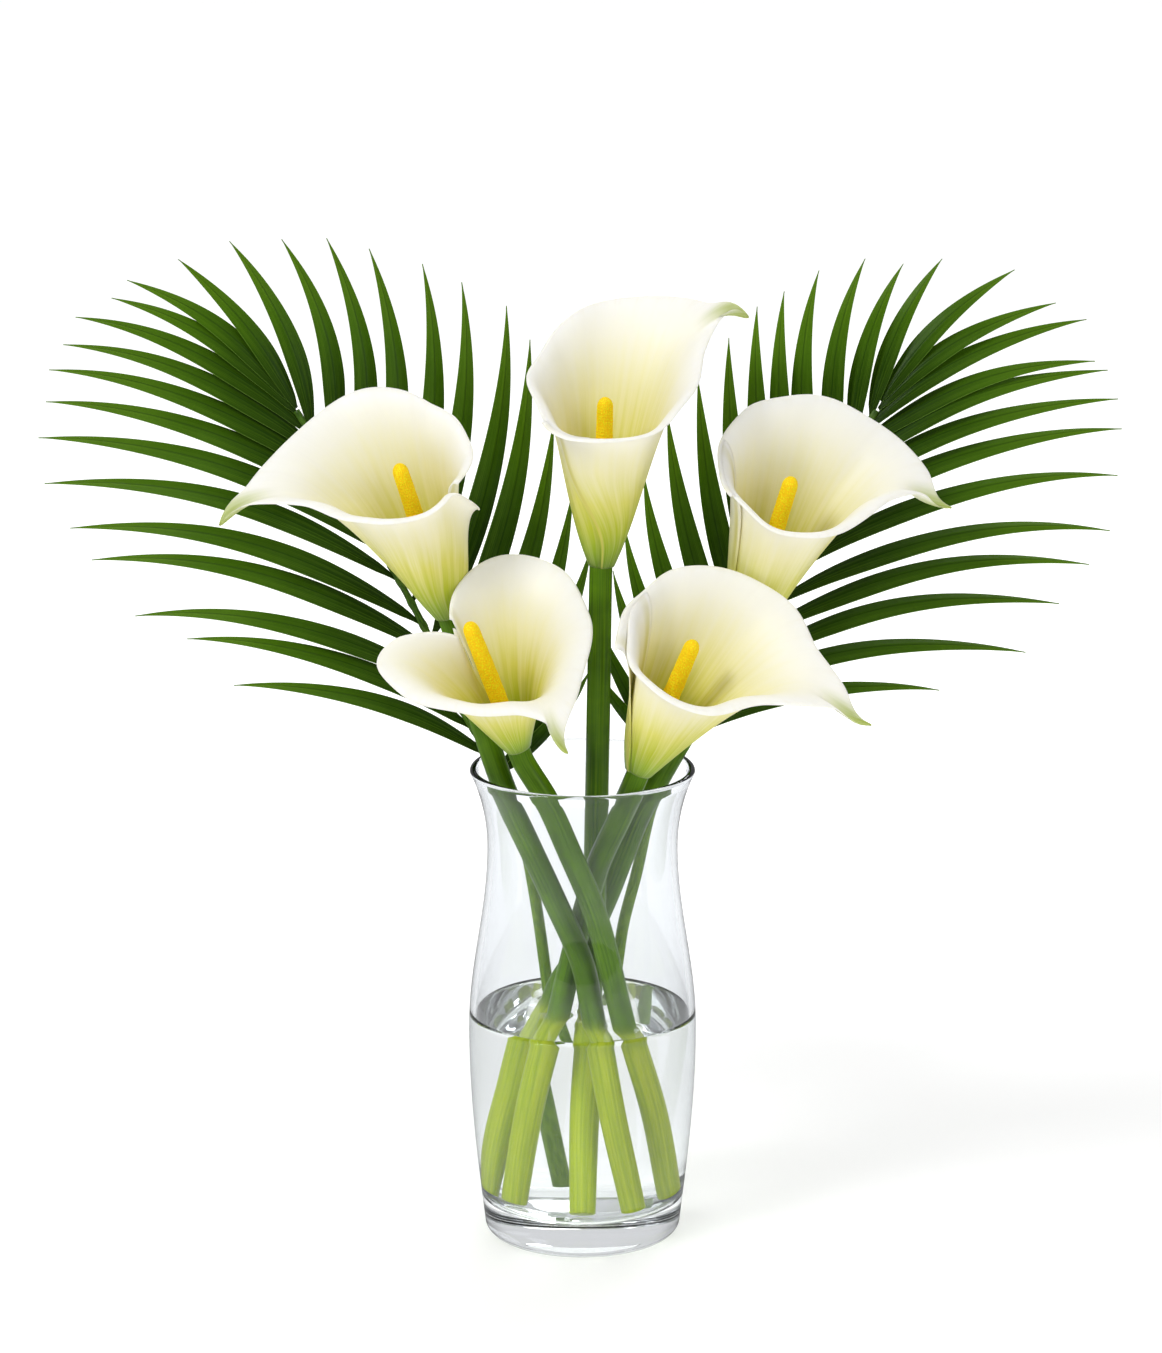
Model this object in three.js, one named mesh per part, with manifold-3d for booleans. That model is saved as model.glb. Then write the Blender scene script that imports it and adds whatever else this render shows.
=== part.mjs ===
// Calla lilies in a clear glass vase: five lilies, each a stem, a rolled spathe and a spadix,
// with a palm frond at either side, standing in water. Millimetres, +Z up. The origin is the
// centre of the underside of the vase's foot, and -Y is the front of the arrangement.
import * as THREE from 'three';
import { mergeVertices } from 'three/addons/utils/BufferGeometryUtils.js';
import Module from 'manifold-3d';

const wasm = await Module();
wasm.setup();

// ---------------------------------------------------------------- driving dimensions
const CLEARANCE = 0.35; // between pieces that touch
const POINT = 0.4; // thickness that a fine point ends in

const VASE = {
  height: 240, wall: 3, base: 17, // the foot is one thick slug of glass
  footRadius: 44, heelRadius: 49, heelHeight: 5,
  bellyRadius: 56.6, bellyHeight: 105,
  waistRadius: 47, neck: 40, // the waist lies this far under the lip
  lipRadius: 56, floorCorner: 9,
  sides: 40, rings: 12,
};
const WATER_LEVEL = 114;

const STEM = { radius: 5.8, neck: 10, footShare: 0.52, sides: 8, steps: 14 };
const SPADIX = { radius: 4.2, rootRadius: 3.2, seat: 1 };
const SPATHE = {
  rootRadius: STEM.radius + 0.7, seat: 1, sheet: 1, overlap: 2.2, rows: 7, columns: 20,
  rootShare: 0.3, // how far up the wall the belly of the tube lies
  lipPull: 0.5, // how early the wall turns outwards
  tipWidth: 9, // degrees to each side that are drawn out into the tip
  tipStart: 0.7, // share of the wall's height that the drawing starts at
  tipCrowd: 0.25, // how much closer the columns stand at the tip
};
const FROND = { radius: 2, stalkRadius: 3, sides: 6, steps: 22, stalkSteps: 12 };

// The stems cross in the neck in lanes, one behind the other, from the front of the glass.
const LANE = { gap: 0.9, glassGap: 4.2 };
const lane = (n) => VASE.wall + LANE.glassGap + STEM.radius - VASE.waistRadius
  + n * (2 * STEM.radius + LANE.gap);
const LEAFLET = {
  slimness: 0.09, usualLength: 155, evenness: 0.4, // width as a share of a length evened out
  baseWidth: 3, thickness: 1,
  arch: 0.09, lean: 0.14, // shares of the length: rise of the arch, and drift backwards
  tilt: { lying: 50, upright: 20 }, // degrees, like a louvre
  widest: 0.36, taper: 1.6, // where the blade is widest, and how it narrows to the tip
  stations: [0, 0.14, 0.36, 0.58, 0.78, 0.92, 1],
};

// Points are [x, y, height]. A height above 0 is in millimetres over the vase's lip, and one
// below 0 is a share of the way from the lip down to the foot of the stems.
//
// Each lily: where the spathe springs from its stem, how its tube leans (bearing and lean in
// degrees, bearing 0 is +X and 90 is +Y), the bearing that its tip points to, the stem's route
// up to there, how far the two edges of the sheet run past each other at the root and at the
// lip, and the pull of its drawn-out tip. wrap is the edge that lies outside at the seam: 1 is the
// edge counter-clockwise from the tip, seen from above. The margin's stations are [turn from the tip in
// degrees, reach from the axis, height up the axis, flare of the wall at the edge in degrees].
const LILIES = {
  centre: {
    root: [9, -5, 105], bearing: -70, lean: 4, tipBearing: 37, spadix: 82, belly: 13,
    over: [70, 35], under: [-45, 0], wrap: -1, tipPull: [24, -4, -12],
    route: [
      [0, -32, -1], [1, lane(2), -0.773], [4, lane(3) - 2, -0.55], [6, lane(3), -0.314], [7, -2, -0.077],
      [8, -5, 45],
    ],
    margin: [
      [-150, 38, 70, 112], [-95, 38, 73, 95], [-55, 41, 84, 80], [-22, 49, 100, 70],
      [0, 62, 117, 72], [20, 60, 121, 62], [60, 48, 118, 58], [100, 38, 104, 62],
      [135, 38, 92, 72], [172, 36, 78, 100],
    ],
  },
  upper_left: {
    root: [-66, -7, 80.5], bearing: -150, lean: 19, tipBearing: 176, spadix: 80, belly: 12,
    over: [-5, 20], under: [25, 30], wrap: 1, tipPull: [-16, -6, -16],
    route: [
      [23, -28, -1], [13, -26, -0.773], [5, lane(1), -0.55], [0, lane(1), -0.432], [-14, lane(1), -0.277],
      [-27, -19, -0.145], [-38, -15, -0.036], [-51, -11, 31],
    ],
    margin: [
      [-177, 37, 78, 90], [-122, 36, 95, 70], [-77, 48, 105, 65], [-45, 56, 102, 72],
      [-20, 66, 94, 85], [0, 72, 84, 95], [20, 48, 76, 100], [45, 37, 69, 112],
      [75, 33, 64, 120], [117, 31, 63, 118], [158, 34, 70, 100],
    ],
  },
  upper_right: {
    root: [79, 6, 66], bearing: -23, lean: 17, tipBearing: 9, spadix: 84, belly: 12,
    over: [25, 30], under: [25, 25], wrap: 1, tipPull: [12, -4, -18],
    route: [
      [-38, 0, -1], [-26, 6, -0.773], [-13, lane(4), -0.545], [0, lane(4), -0.45], [12, lane(4), -0.327],
      [21, lane(4) - 3, -0.214], [30, 8, -0.105], [56, 3, 26],
    ],
    margin: [
      [-165, 35, 76, 95], [-125, 32, 68, 115], [-87, 35, 66, 120], [-53, 39, 73, 112],
      [-18, 47, 86, 98], [0, 66, 97, 90], [20, 61, 107, 72], [47, 51, 113, 62],
      [83, 44, 113, 60], [121, 40, 104, 62], [164, 37, 87, 72],
    ],
  },
  lower_left: {
    root: [-32, -35, 21], bearing: -141, lean: 24, tipBearing: -58, spadix: 71, belly: 9,
    over: [0, -10], under: [10, -12], wrap: 1, tipPull: [4, -22, -14],
    route: [
      [34, 0, -1], [29, -14, -0.773], [19, -30, -0.541], [6, lane(0), -0.295], [-6, lane(0), -0.155],
      [-17, lane(0), -0.036],
    ],
    margin: [
      [-165, 12, 60, 30], [-149, 24, 66, 60], [-137, 39, 70, 85], [-117, 49, 67, 105],
      [-88, 46, 56, 125], [-51, 40, 46, 135], [-18, 50, 41, 130], [0, 60, 37, 130],
      [28, 54, 40, 120], [65, 56, 52, 100], [95, 59, 66, 85], [125, 52, 76, 70], [157, 30, 74, 50],
    ],
  },
  lower_right: {
    root: [28, -42, 11], bearing: -25, lean: 23, tipBearing: -12, spadix: 72, belly: 12,
    over: [50, 35], under: [20, 25], wrap: 1, tipPull: [14, -10, -12],
    route: [
      [-28, -11, -1], [-21, -11, -0.773], [-13, lane(2), -0.591], [-4, lane(2), -0.409],
      [2, lane(2), -0.305], [8, -16, -0.2], [18, -29, -0.077],
    ],
    margin: [
      [-142, 31, 58, 110], [-100, 32, 52, 125], [-59, 39, 54, 122], [-27, 47, 63, 112],
      [0, 74, 77, 100], [21, 58, 88, 85], [51, 49, 96, 70], [85, 41, 98, 62],
      [126, 38, 90, 66], [163, 35, 77, 78],
    ],
  },
};

// Each palm frond: the route of its stem up to the first leaflet, the route of its rib, and its
// leaflets as [share of the rib, bearing in the X-Z plane in degrees, length, arch if not the usual].
// turn is the side that the leaflets arch to: -1 is clockwise seen from the front. The leaflets
// listed in grown sit on the two ends of the rib and grow from it as one piece.
const FRONDS = {
  left: {
    stem: [[-6, 26, -0.995], [-17, 34, -0.6], [-24, 30, -0.355], [-31, 23, -0.177]],
    rib: [
      [-40, 15, -0.032], [-59, 22, 22], [-79, 32, 64], [-104, 44, 107], [-122, 53, 135],
      [-142, 62, 166],
    ],
    turn: -1,
    leaflets: [
      [0.04, 166, 133], [0.12, 164, 149], [0.22, 168, 163], [0.32, 166, 178], [0.40, 166, 182],
      [0.52, 166, 183], [0.60, 163, 180], [0.69, 161, 168], [0.77, 159, 159], [0.85, 157, 144],
      [0.84, 102, 114, 0.1], [0.75, 95, 128, 0.1], [0.66, 90, 138, 0.1], [0.56, 84, 149],
      [0.46, 81, 159, 0.074], [0.36, 77, 168, 0.062], [0.26, 76, 171, 0.056], [0.18, 72, 149, 0.06],
      [0.10, 69, 130, 0.07], [0.04, 65, 115, 0.06],
    ],
    grown: [
      [0.92, 154, 132], [0.97, 148, 112], [1.0, 143, 105], [0.98, 128, 98, 0.065],
      [0.93, 113, 103, 0.083], [0.01, 58, 84, 0.06], [0, 49, 66, 0.06],
    ],
  },
  right: {
    stem: [[9, 28, -0.659], [16, 28, -0.55], [21, 28, -0.405], [28, 27, -0.277], [34.5, 20.5, -0.132]],
    rib: [[44, 18, -0.009], [61, 26, 21], [84, 36, 55], [109, 50, 101], [129, 60, 137], [146, 68, 165]],
    turn: 1,
    leaflets: [
      [0.05, 112, 92, 0.057], [0.11, 110, 104, 0.058], [0.18, 107, 117, 0.047],
      [0.26, 104, 132, 0.035], [0.34, 101, 134, 0.033], [0.43, 98, 137, 0.042],
      [0.53, 96, 134, 0.045], [0.62, 94, 125, 0.052], [0.71, 90, 119, 0.073], [0.81, 83, 108, 0.079],
      [0.87, 20, 131], [0.80, 21, 146], [0.72, 19, 158], [0.63, 18, 168], [0.54, 15, 172],
      [0.45, 11, 174], [0.36, 11, 172], [0.27, 10, 166], [0.18, 7, 158], [0.08, 8, 126],
    ],
    grown: [
      [0.89, 75, 94, 0.074], [0.97, 66, 87, 0.065], [1.0, 45, 97, 0.073], [0.98, 31, 107],
      [0.93, 26, 125], [0.01, 119, 80, 0.06], [0, 129, 62, 0.06],
    ],
  },
};

const material = (color, roughness, options = {}) =>
  new THREE.MeshStandardMaterial({ color, roughness, metalness: 0, ...options });
const LOOK = {
  glass: material('#e8f2f0', 0.03, { transparent: true, opacity: 0.3 }),
  water: material('#dcebe4', 0.02, { transparent: true, opacity: 0.35 }),
  stem: material('#5f961f', 0.45),
  spathe: material('#f6f3e6', 0.4, { side: THREE.DoubleSide }),
  spadix: material('#f2b211', 0.7),
  frond: material('#3c6b14', 0.4),
};

// ---------------------------------------------------------------- helpers
const RADIANS = Math.PI / 180;
const stemDepth = VASE.height - VASE.base - STEM.footShare * STEM.radius; // room for slanted feet
const place = ([x, y, h]) => new THREE.Vector3(x, y, VASE.height + (h < 0 ? h * stemDepth : h));
const mix = (a, b, t) => a + (b - a) * t;
const smooth = (t) => {
  const s = Math.min(Math.max(t, 0), 1);
  return s * s * (3 - 2 * s);
};

/** A closed grid of points, wrapped round and capped at both ends, as one geometry. */
function loft(rings) {
  const count = rings[0].length;
  const positions = rings.flat().flatMap((p) => [p.x, p.y, p.z]);
  const faces = [];
  for (let i = 0; i + 1 < rings.length; i += 1) {
    for (let j = 0; j < count; j += 1) {
      const a = i * count + j;
      const b = i * count + ((j + 1) % count);
      faces.push(a, b, b + count, a, b + count, a + count);
    }
  }
  const last = (rings.length - 1) * count;
  for (let j = 1; j + 1 < count; j += 1) {
    faces.push(0, j + 1, j, last, last + j, last + j + 1);
  }
  const geometry = new THREE.BufferGeometry();
  geometry.setAttribute('position', new THREE.Float32BufferAttribute(positions, 3));
  geometry.setIndex(faces);
  return geometry;
}

/** A thin closed sheet: an outer and an inner grid of points, joined along all four borders. */
function sheet(outer, inner) {
  const rows = outer.length;
  const columns = outer[0].length;
  const positions = [...outer.flat(), ...inner.flat()].flatMap((p) => [p.x, p.y, p.z]);
  const at = (i, j) => i * columns + j;
  const below = rows * columns;
  const faces = [];
  const quad = (a, b, c, d) => faces.push(a, b, c, a, c, d);
  for (let i = 0; i + 1 < rows; i += 1) {
    for (let j = 0; j + 1 < columns; j += 1) {
      const corners = [at(i, j), at(i, j + 1), at(i + 1, j + 1), at(i + 1, j)];
      quad(...corners);
      quad(...corners.map((corner) => corner + below).reverse());
    }
  }
  const border = [];
  for (let j = 0; j < columns; j += 1) border.push(at(0, j));
  for (let i = 1; i < rows; i += 1) border.push(at(i, columns - 1));
  for (let j = columns - 2; j >= 0; j -= 1) border.push(at(rows - 1, j));
  for (let i = rows - 2; i > 0; i -= 1) border.push(at(i, 0));
  border.forEach((a, k) => {
    const b = border[(k + 1) % border.length];
    quad(b, a, a + below, b + below);
  });
  const geometry = new THREE.BufferGeometry();
  geometry.setAttribute('position', new THREE.Float32BufferAttribute(positions, 3));
  geometry.setIndex(faces);
  return geometry;
}

/** The geometry as a manifold solid, turned to face outwards if it came out inside out. */
function solid(geometry) {
  const bare = geometry.clone();
  bare.deleteAttribute('normal');
  bare.deleteAttribute('uv');
  const merged = mergeVertices(bare, 1e-4);
  const triVerts = Uint32Array.from(merged.index.array);
  const vertProperties = Float32Array.from(merged.attributes.position.array);
  if (signedVolume(vertProperties, triVerts) < 0) {
    for (let i = 0; i < triVerts.length; i += 3) {
      [triVerts[i + 1], triVerts[i + 2]] = [triVerts[i + 2], triVerts[i + 1]];
    }
  }
  return new wasm.Manifold(new wasm.Mesh({ numProp: 3, vertProperties, triVerts }));
}

function signedVolume(vertices, triangles) {
  const corner = (i) => new THREE.Vector3().fromArray(vertices, 3 * triangles[i]);
  let volume = 0;
  for (let i = 0; i < triangles.length; i += 3) {
    volume += corner(i).dot(corner(i + 1).cross(corner(i + 2)));
  }
  return volume;
}

/** A manifold solid back as a three.js geometry. */
function geometryOf(manifold) {
  const mesh = manifold.getMesh();
  const geometry = new THREE.BufferGeometry();
  geometry.setAttribute('position', new THREE.Float32BufferAttribute(mesh.vertProperties, 3));
  geometry.setIndex(Array.from(mesh.triVerts));
  return geometry;
}

/** A round rod along a route of points. */
function rod(route, radius, sides, steps) {
  const section = new THREE.Shape();
  for (let i = 0; i < sides; i += 1) {
    const angle = (2 * Math.PI * i) / sides;
    const corner = [radius * Math.cos(angle), radius * Math.sin(angle)];
    if (i === 0) section.moveTo(...corner);
    else section.lineTo(...corner);
  }
  section.closePath();
  const path = new THREE.CatmullRomCurve3(route);
  return new THREE.ExtrudeGeometry(section, { steps, bevelEnabled: false, extrudePath: path });
}

// ---------------------------------------------------------------- vase and water
/** Outer radius of the vase at a height: heel to belly, belly to waist, waist to lip. */
function vaseRadius(z) {
  const v = VASE;
  if (z < v.heelHeight) {
    const t = 1 - z / v.heelHeight;
    return v.footRadius + (v.heelRadius - v.footRadius) * Math.sqrt(1 - t * t);
  }
  if (z < v.bellyHeight) {
    const t = (z - v.heelHeight) / (v.bellyHeight - v.heelHeight);
    return mix(v.heelRadius, v.bellyRadius, Math.sin((t * Math.PI) / 2));
  }
  const waistHeight = v.height - v.neck;
  if (z < waistHeight) {
    const t = (z - v.bellyHeight) / (waistHeight - v.bellyHeight);
    return mix(v.bellyRadius, v.waistRadius, (1 - Math.cos(t * Math.PI)) / 2);
  }
  const t = (z - waistHeight) / v.neck;
  return mix(v.waistRadius, v.lipRadius, t * t);
}

const lip = VASE.wall / 2;
const wallHeights = Array.from({ length: VASE.rings + 1 }, (_, i) =>
  mix(VASE.heelHeight, VASE.height - lip, i / VASE.rings));

/** Outer radius of the faceted wall, straight between the heights that the wall is built at. */
function wallRadius(z) {
  const above = Math.max(wallHeights.findIndex((height) => height >= z - 1e-6), 1);
  const [low, high] = [wallHeights[above - 1], wallHeights[above]];
  return mix(vaseRadius(low), vaseRadius(high), (z - low) / (high - low));
}

/** The inner outline from the axis out and up to a height, moved in by a clearance. */
function innerOutline(top, clearance) {
  const floor = VASE.base + clearance;
  const corner = VASE.floorCorner;
  const inner = (z) => wallRadius(z) - VASE.wall - clearance;
  const outline = [new THREE.Vector2(0, floor)];
  for (let i = 0; i <= 3; i += 1) {
    const angle = (i / 3) * (Math.PI / 2);
    const z = floor + corner * (1 - Math.cos(angle));
    outline.push(new THREE.Vector2(inner(z) - corner * (1 - Math.sin(angle)), z));
  }
  for (const z of [...wallHeights.filter((height) => height < top - 1), top]) {
    if (z > floor + corner + 1) outline.push(new THREE.Vector2(inner(z), z));
  }
  return outline;
}

function vaseGeometry() {
  const outline = [new THREE.Vector2(0, 0), new THREE.Vector2(VASE.footRadius, 0)];
  const heel = VASE.heelHeight / 3;
  outline.push(new THREE.Vector2(vaseRadius(heel), heel));
  outline.push(...wallHeights.map((z) => new THREE.Vector2(vaseRadius(z), z)));
  const rim = vaseRadius(VASE.height - lip) - lip;
  for (let i = 1; i < 4; i += 1) {
    const angle = (i / 4) * Math.PI;
    outline.push(new THREE.Vector2(rim + lip * Math.cos(angle), VASE.height - lip + lip * Math.sin(angle)));
  }
  outline.push(...innerOutline(VASE.height - lip, 0).reverse());
  return new THREE.LatheGeometry(outline, VASE.sides).rotateX(Math.PI / 2);
}

function waterGeometry(routes) {
  const outline = innerOutline(WATER_LEVEL, CLEARANCE);
  outline.push(new THREE.Vector2(0, WATER_LEVEL));
  let water = solid(new THREE.LatheGeometry(outline, VASE.sides).rotateX(Math.PI / 2));
  for (const { route, radius, sides, steps } of routes) {
    water = water.subtract(solid(rod(route, radius + CLEARANCE, sides, steps)));
  }
  return geometryOf(water);
}

// ---------------------------------------------------------------- lilies
/** The lily's own frame: z up the tube, x towards the tip of the spathe. */
function lilyFrame(lily) {
  const bearing = lily.bearing * RADIANS;
  const lean = lily.lean * RADIANS;
  const axis = new THREE.Vector3(
    Math.cos(bearing) * Math.sin(lean), Math.sin(bearing) * Math.sin(lean), Math.cos(lean),
  );
  const tip = lily.tipBearing * RADIANS;
  const forward = new THREE.Vector3(Math.cos(tip), Math.sin(tip), 0);
  forward.addScaledVector(axis, -forward.dot(axis)).normalize();
  const side = new THREE.Vector3().crossVectors(axis, forward);
  return new THREE.Matrix4().makeBasis(forward, side, axis).setPosition(place(lily.root));
}

/** Reach, height and flare of the margin at a turn from the tip, smooth through the stations. */
function marginAt(stations, turn) {
  const count = stations.length;
  const station = (i) => {
    const lap = Math.floor(i / count);
    const [angle, ...rest] = stations[i - lap * count];
    return [angle + 360 * lap, ...rest];
  };
  let i = -count;
  while (station(i + 1)[0] < turn) i += 1;
  const [before, from, to, after] = [i - 1, i, i + 1, i + 2].map(station);
  const span = to[0] - from[0];
  const t = (turn - from[0]) / span;
  return [1, 2, 3].map((k) => {
    const slopeFrom = ((to[k] - before[k]) / (to[0] - before[0])) * span;
    const slopeTo = ((after[k] - from[k]) / (after[0] - from[0])) * span;
    return (2 * t ** 3 - 3 * t ** 2 + 1) * from[k] + (t ** 3 - 2 * t ** 2 + t) * slopeFrom
      + (-2 * t ** 3 + 3 * t ** 2) * to[k] + (t ** 3 - t ** 2) * slopeTo;
  });
}

/** A point of the spathe's middle surface: up is 0 at the root and 1 at the margin. */
function spathePoint(lily, frame, up, across) {
  const half = across > 0 ? mix(...lily.over, up) : mix(...lily.under, up);
  const share = Math.abs(across);
  const spread = Math.sign(across) * mix(share, share * share, SPATHE.tipCrowd);
  const turn = (180 + half) * spread;
  const [reach, height, flare] = marginAt(lily.margin, turn);
  const pull = SPATHE.lipPull * (reach - SPATHE.rootRadius);
  const lipRadius = reach - pull * Math.sin(flare * RADIANS);
  const lipHeight = height - pull * Math.cos(flare * RADIANS);
  const down = 1 - up;
  const radius = down ** 3 * SPATHE.rootRadius + 3 * up * down ** 2 * (SPATHE.rootRadius + lily.belly)
    + 3 * up ** 2 * down * lipRadius + up ** 3 * reach + (SPATHE.overlap * lily.wrap * turn) / 360;
  const rise = SPATHE.seat * down ** 3 + 3 * up * down ** 2 * SPATHE.rootShare * height
    + 3 * up ** 2 * down * lipHeight + up ** 3 * height;
  const angle = turn * RADIANS;
  const spot = new THREE.Vector3(radius * Math.cos(angle), radius * Math.sin(angle), rise);
  spot.applyMatrix4(frame);
  const nearTip = Math.exp(-((Math.abs(turn) / SPATHE.tipWidth) ** 1.3));
  const nearEdge = smooth((up - SPATHE.tipStart) / (1 - SPATHE.tipStart));
  return spot.addScaledVector(new THREE.Vector3(...lily.tipPull), nearTip * nearEdge);
}

/** The spathe as a thin closed sheet round its middle surface. */
function spatheGeometry(lily) {
  const frame = lilyFrame(lily);
  const { rows, columns } = SPATHE;
  const grid = [];
  for (let i = 0; i <= rows; i += 1) {
    const row = [];
    for (let j = 0; j <= columns; j += 1) {
      row.push(spathePoint(lily, frame, i / rows, (2 * j) / columns - 1));
    }
    grid.push(row);
  }
  const normalAt = (i, j) => {
    const up = grid[Math.min(i + 1, rows)][j].clone().sub(grid[Math.max(i - 1, 0)][j]);
    const across = grid[i][Math.min(j + 1, columns)].clone().sub(grid[i][Math.max(j - 1, 0)]);
    return across.cross(up).normalize();
  };
  const face = (sign) => grid.map((row, i) => row.map((p, j) =>
    p.clone().addScaledVector(normalAt(i, j), (sign * SPATHE.sheet) / 2)));
  return sheet(face(1), face(-1));
}

function spadixGeometry(lily) {
  const { radius, rootRadius, seat } = SPADIX;
  const outline = [
    [0, seat], [rootRadius, seat], [radius, 0.45 * lily.spadix], [0.94 * radius, 0.8 * lily.spadix],
    [0.82 * radius, lily.spadix - 4], [0.5 * radius, lily.spadix - 1], [0, lily.spadix],
  ].map((p) => new THREE.Vector2(...p));
  const geometry = new THREE.LatheGeometry(outline, 10);
  return geometry.rotateX(Math.PI / 2).applyMatrix4(lilyFrame(lily));
}

/** The stem's route, with its neck in line with the tube of the spathe. */
function stemRoute(lily) {
  const neck = new THREE.Vector3(0, 0, -STEM.neck).applyMatrix4(lilyFrame(lily));
  return [...lily.route.map(place), neck, place(lily.root)];
}

// ---------------------------------------------------------------- palm fronds
/** One leaflet blade: a shallow lens in section, arched along its length and tilted to the light. */
function leafletGeometry(frond, [share, bearing, length, arch = LEAFLET.arch], joined) {
  const rib = new THREE.CatmullRomCurve3(frond.rib.map(place));
  const root = rib.getPointAt(share);
  const angle = bearing * RADIANS;
  const along = new THREE.Vector3(Math.cos(angle), LEAFLET.lean, Math.sin(angle));
  const archSide = new THREE.Vector3(-Math.sin(angle), 0, Math.cos(angle)).multiplyScalar(frond.turn);
  const tilt = mix(LEAFLET.tilt.lying, LEAFLET.tilt.upright, Math.abs(Math.sin(angle))) * RADIANS;
  const width = LEAFLET.slimness * mix(length, LEAFLET.usualLength, LEAFLET.evenness);
  const across = archSide.clone().multiplyScalar(Math.cos(tilt));
  across.y += Math.sin(tilt);
  const normal = new THREE.Vector3().crossVectors(along, across).normalize();
  const leaving = along.clone().addScaledVector(archSide, 4 * arch);
  const slant = leaving.cross(rib.getTangentAt(share)).length();
  const start = joined ? 0 : (FROND.radius + LEAFLET.baseWidth / 2 + CLEARANCE) / slant;
  const rings = [];
  for (const t of LEAFLET.stations) {
    const travel = mix(start / length, 1, t);
    const middle = root.clone().addScaledVector(along, travel * length);
    middle.addScaledVector(archSide, arch * length * 4 * travel * (1 - travel));
    const opening = Math.sin(Math.min(t / LEAFLET.widest, 1) * (Math.PI / 2));
    const beyond = Math.max(t - LEAFLET.widest, 0) / (1 - LEAFLET.widest);
    const taper = 1 - beyond ** LEAFLET.taper;
    const halfWidth = Math.max((mix(LEAFLET.baseWidth, width, opening) / 2) * taper, POINT / 2);
    const halfThickness = Math.max((LEAFLET.thickness / 2) * taper, POINT / 2);
    rings.push([
      middle.clone().addScaledVector(across, -halfWidth),
      middle.clone().addScaledVector(normal, -halfThickness),
      middle.clone().addScaledVector(across, halfWidth),
      middle.clone().addScaledVector(normal, halfThickness),
    ]);
  }
  return loft(rings);
}

const frondRoute = (frond) => [...frond.stem, ...frond.rib].map(place);
const stalkRoute = (frond) => [...frond.stem, frond.rib[0]].map(place);

/** The frond's stalk and rib, with the leaflets at the rib's two ends grown onto it. */
function frondGeometry(frond) {
  let body = solid(rod(frondRoute(frond), FROND.radius, FROND.sides, FROND.steps));
  body = body.add(solid(rod(stalkRoute(frond), FROND.stalkRadius, FROND.sides, FROND.stalkSteps)));
  for (const leaflet of frond.grown) {
    body = body.add(solid(leafletGeometry(frond, leaflet, true)));
  }
  return geometryOf(body);
}

// ---------------------------------------------------------------- assembly
const group = new THREE.Group();

/** Adds one named piece, with its faces turned outwards. */
function addPiece(name, geometry, look) {
  const mesh = new THREE.Mesh(geometryOf(solid(geometry)), look);
  mesh.geometry.computeVertexNormals();
  mesh.name = name;
  group.add(mesh);
}

const submerged = [];
for (const lily of Object.values(LILIES)) {
  submerged.push({ route: stemRoute(lily), ...STEM });
}
for (const frond of Object.values(FRONDS)) {
  submerged.push({
    route: stalkRoute(frond), radius: FROND.stalkRadius, sides: FROND.sides, steps: FROND.stalkSteps,
  });
}
addPiece('vase', vaseGeometry(), LOOK.glass);
addPiece('water', waterGeometry(submerged), LOOK.water);

for (const [name, lily] of Object.entries(LILIES)) {
  addPiece(`${name}_stem`, rod(stemRoute(lily), STEM.radius, STEM.sides, STEM.steps), LOOK.stem);
  addPiece(`${name}_spathe`, spatheGeometry(lily), LOOK.spathe);
  addPiece(`${name}_spadix`, spadixGeometry(lily), LOOK.spadix);
}

for (const [side, frond] of Object.entries(FRONDS)) {
  addPiece(`${side}_frond_rib`, frondGeometry(frond), LOOK.frond);
  frond.leaflets.forEach((leaflet, i) => {
    const number = String(i + 1).padStart(2, '0');
    addPiece(`${side}_leaflet_${number}`, leafletGeometry(frond, leaflet, false), LOOK.frond);
  });
}

export default group;
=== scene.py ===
"""Calla lilies and palm fronds in a clear glass vase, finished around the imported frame.

Everything rests in the vase, so every piece rides on the one body, "root". Sizes are written
in millimetres and become metres as the meshes are made. +Z is up, and -Y is the front.
"""
import logging
import math
from dataclasses import dataclass
from enum import Enum
from typing import Callable, Iterable, Sequence

import bpy
import numpy as np
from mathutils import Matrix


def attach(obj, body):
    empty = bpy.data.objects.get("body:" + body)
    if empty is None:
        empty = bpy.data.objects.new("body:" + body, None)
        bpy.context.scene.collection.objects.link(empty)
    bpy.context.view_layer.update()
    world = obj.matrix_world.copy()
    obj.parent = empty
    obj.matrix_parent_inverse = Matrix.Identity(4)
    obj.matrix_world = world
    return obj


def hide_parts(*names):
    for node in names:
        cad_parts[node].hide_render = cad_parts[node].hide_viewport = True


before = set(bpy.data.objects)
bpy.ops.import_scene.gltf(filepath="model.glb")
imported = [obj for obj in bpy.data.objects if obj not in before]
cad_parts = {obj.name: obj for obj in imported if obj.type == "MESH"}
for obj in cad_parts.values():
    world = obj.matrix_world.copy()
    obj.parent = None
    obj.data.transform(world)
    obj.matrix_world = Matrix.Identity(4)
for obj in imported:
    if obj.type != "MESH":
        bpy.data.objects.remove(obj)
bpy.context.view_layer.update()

log = logging.getLogger("lilies")

MM = 0.001
BODY = "root"
Point = tuple[float, float, float]
Pair = tuple[float, float]
Number = float | np.ndarray
Colour = tuple[float, float, float, float]
Place = Callable[[np.ndarray, np.ndarray], np.ndarray]


class Slot(Enum):
    """The names of the material slots."""

    GLASS = "clear_glass"
    WATER = "water"
    STEM = "lily_stem"
    SPATHE = "spathe"
    SPADIX = "spadix"
    RIB = "palm_rib"
    LEAFLET = "palm_leaflet"


class Arch(Enum):
    """The side that a frond's leaflets arch to, seen from the front."""

    CLOCKWISE = -1
    COUNTER = 1


class Wrap(Enum):
    """Which edge of a spathe lies outside at the seam: turn runs counter-clockwise from the tip."""

    CLOCKWISE = -1
    COUNTER = 1


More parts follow.
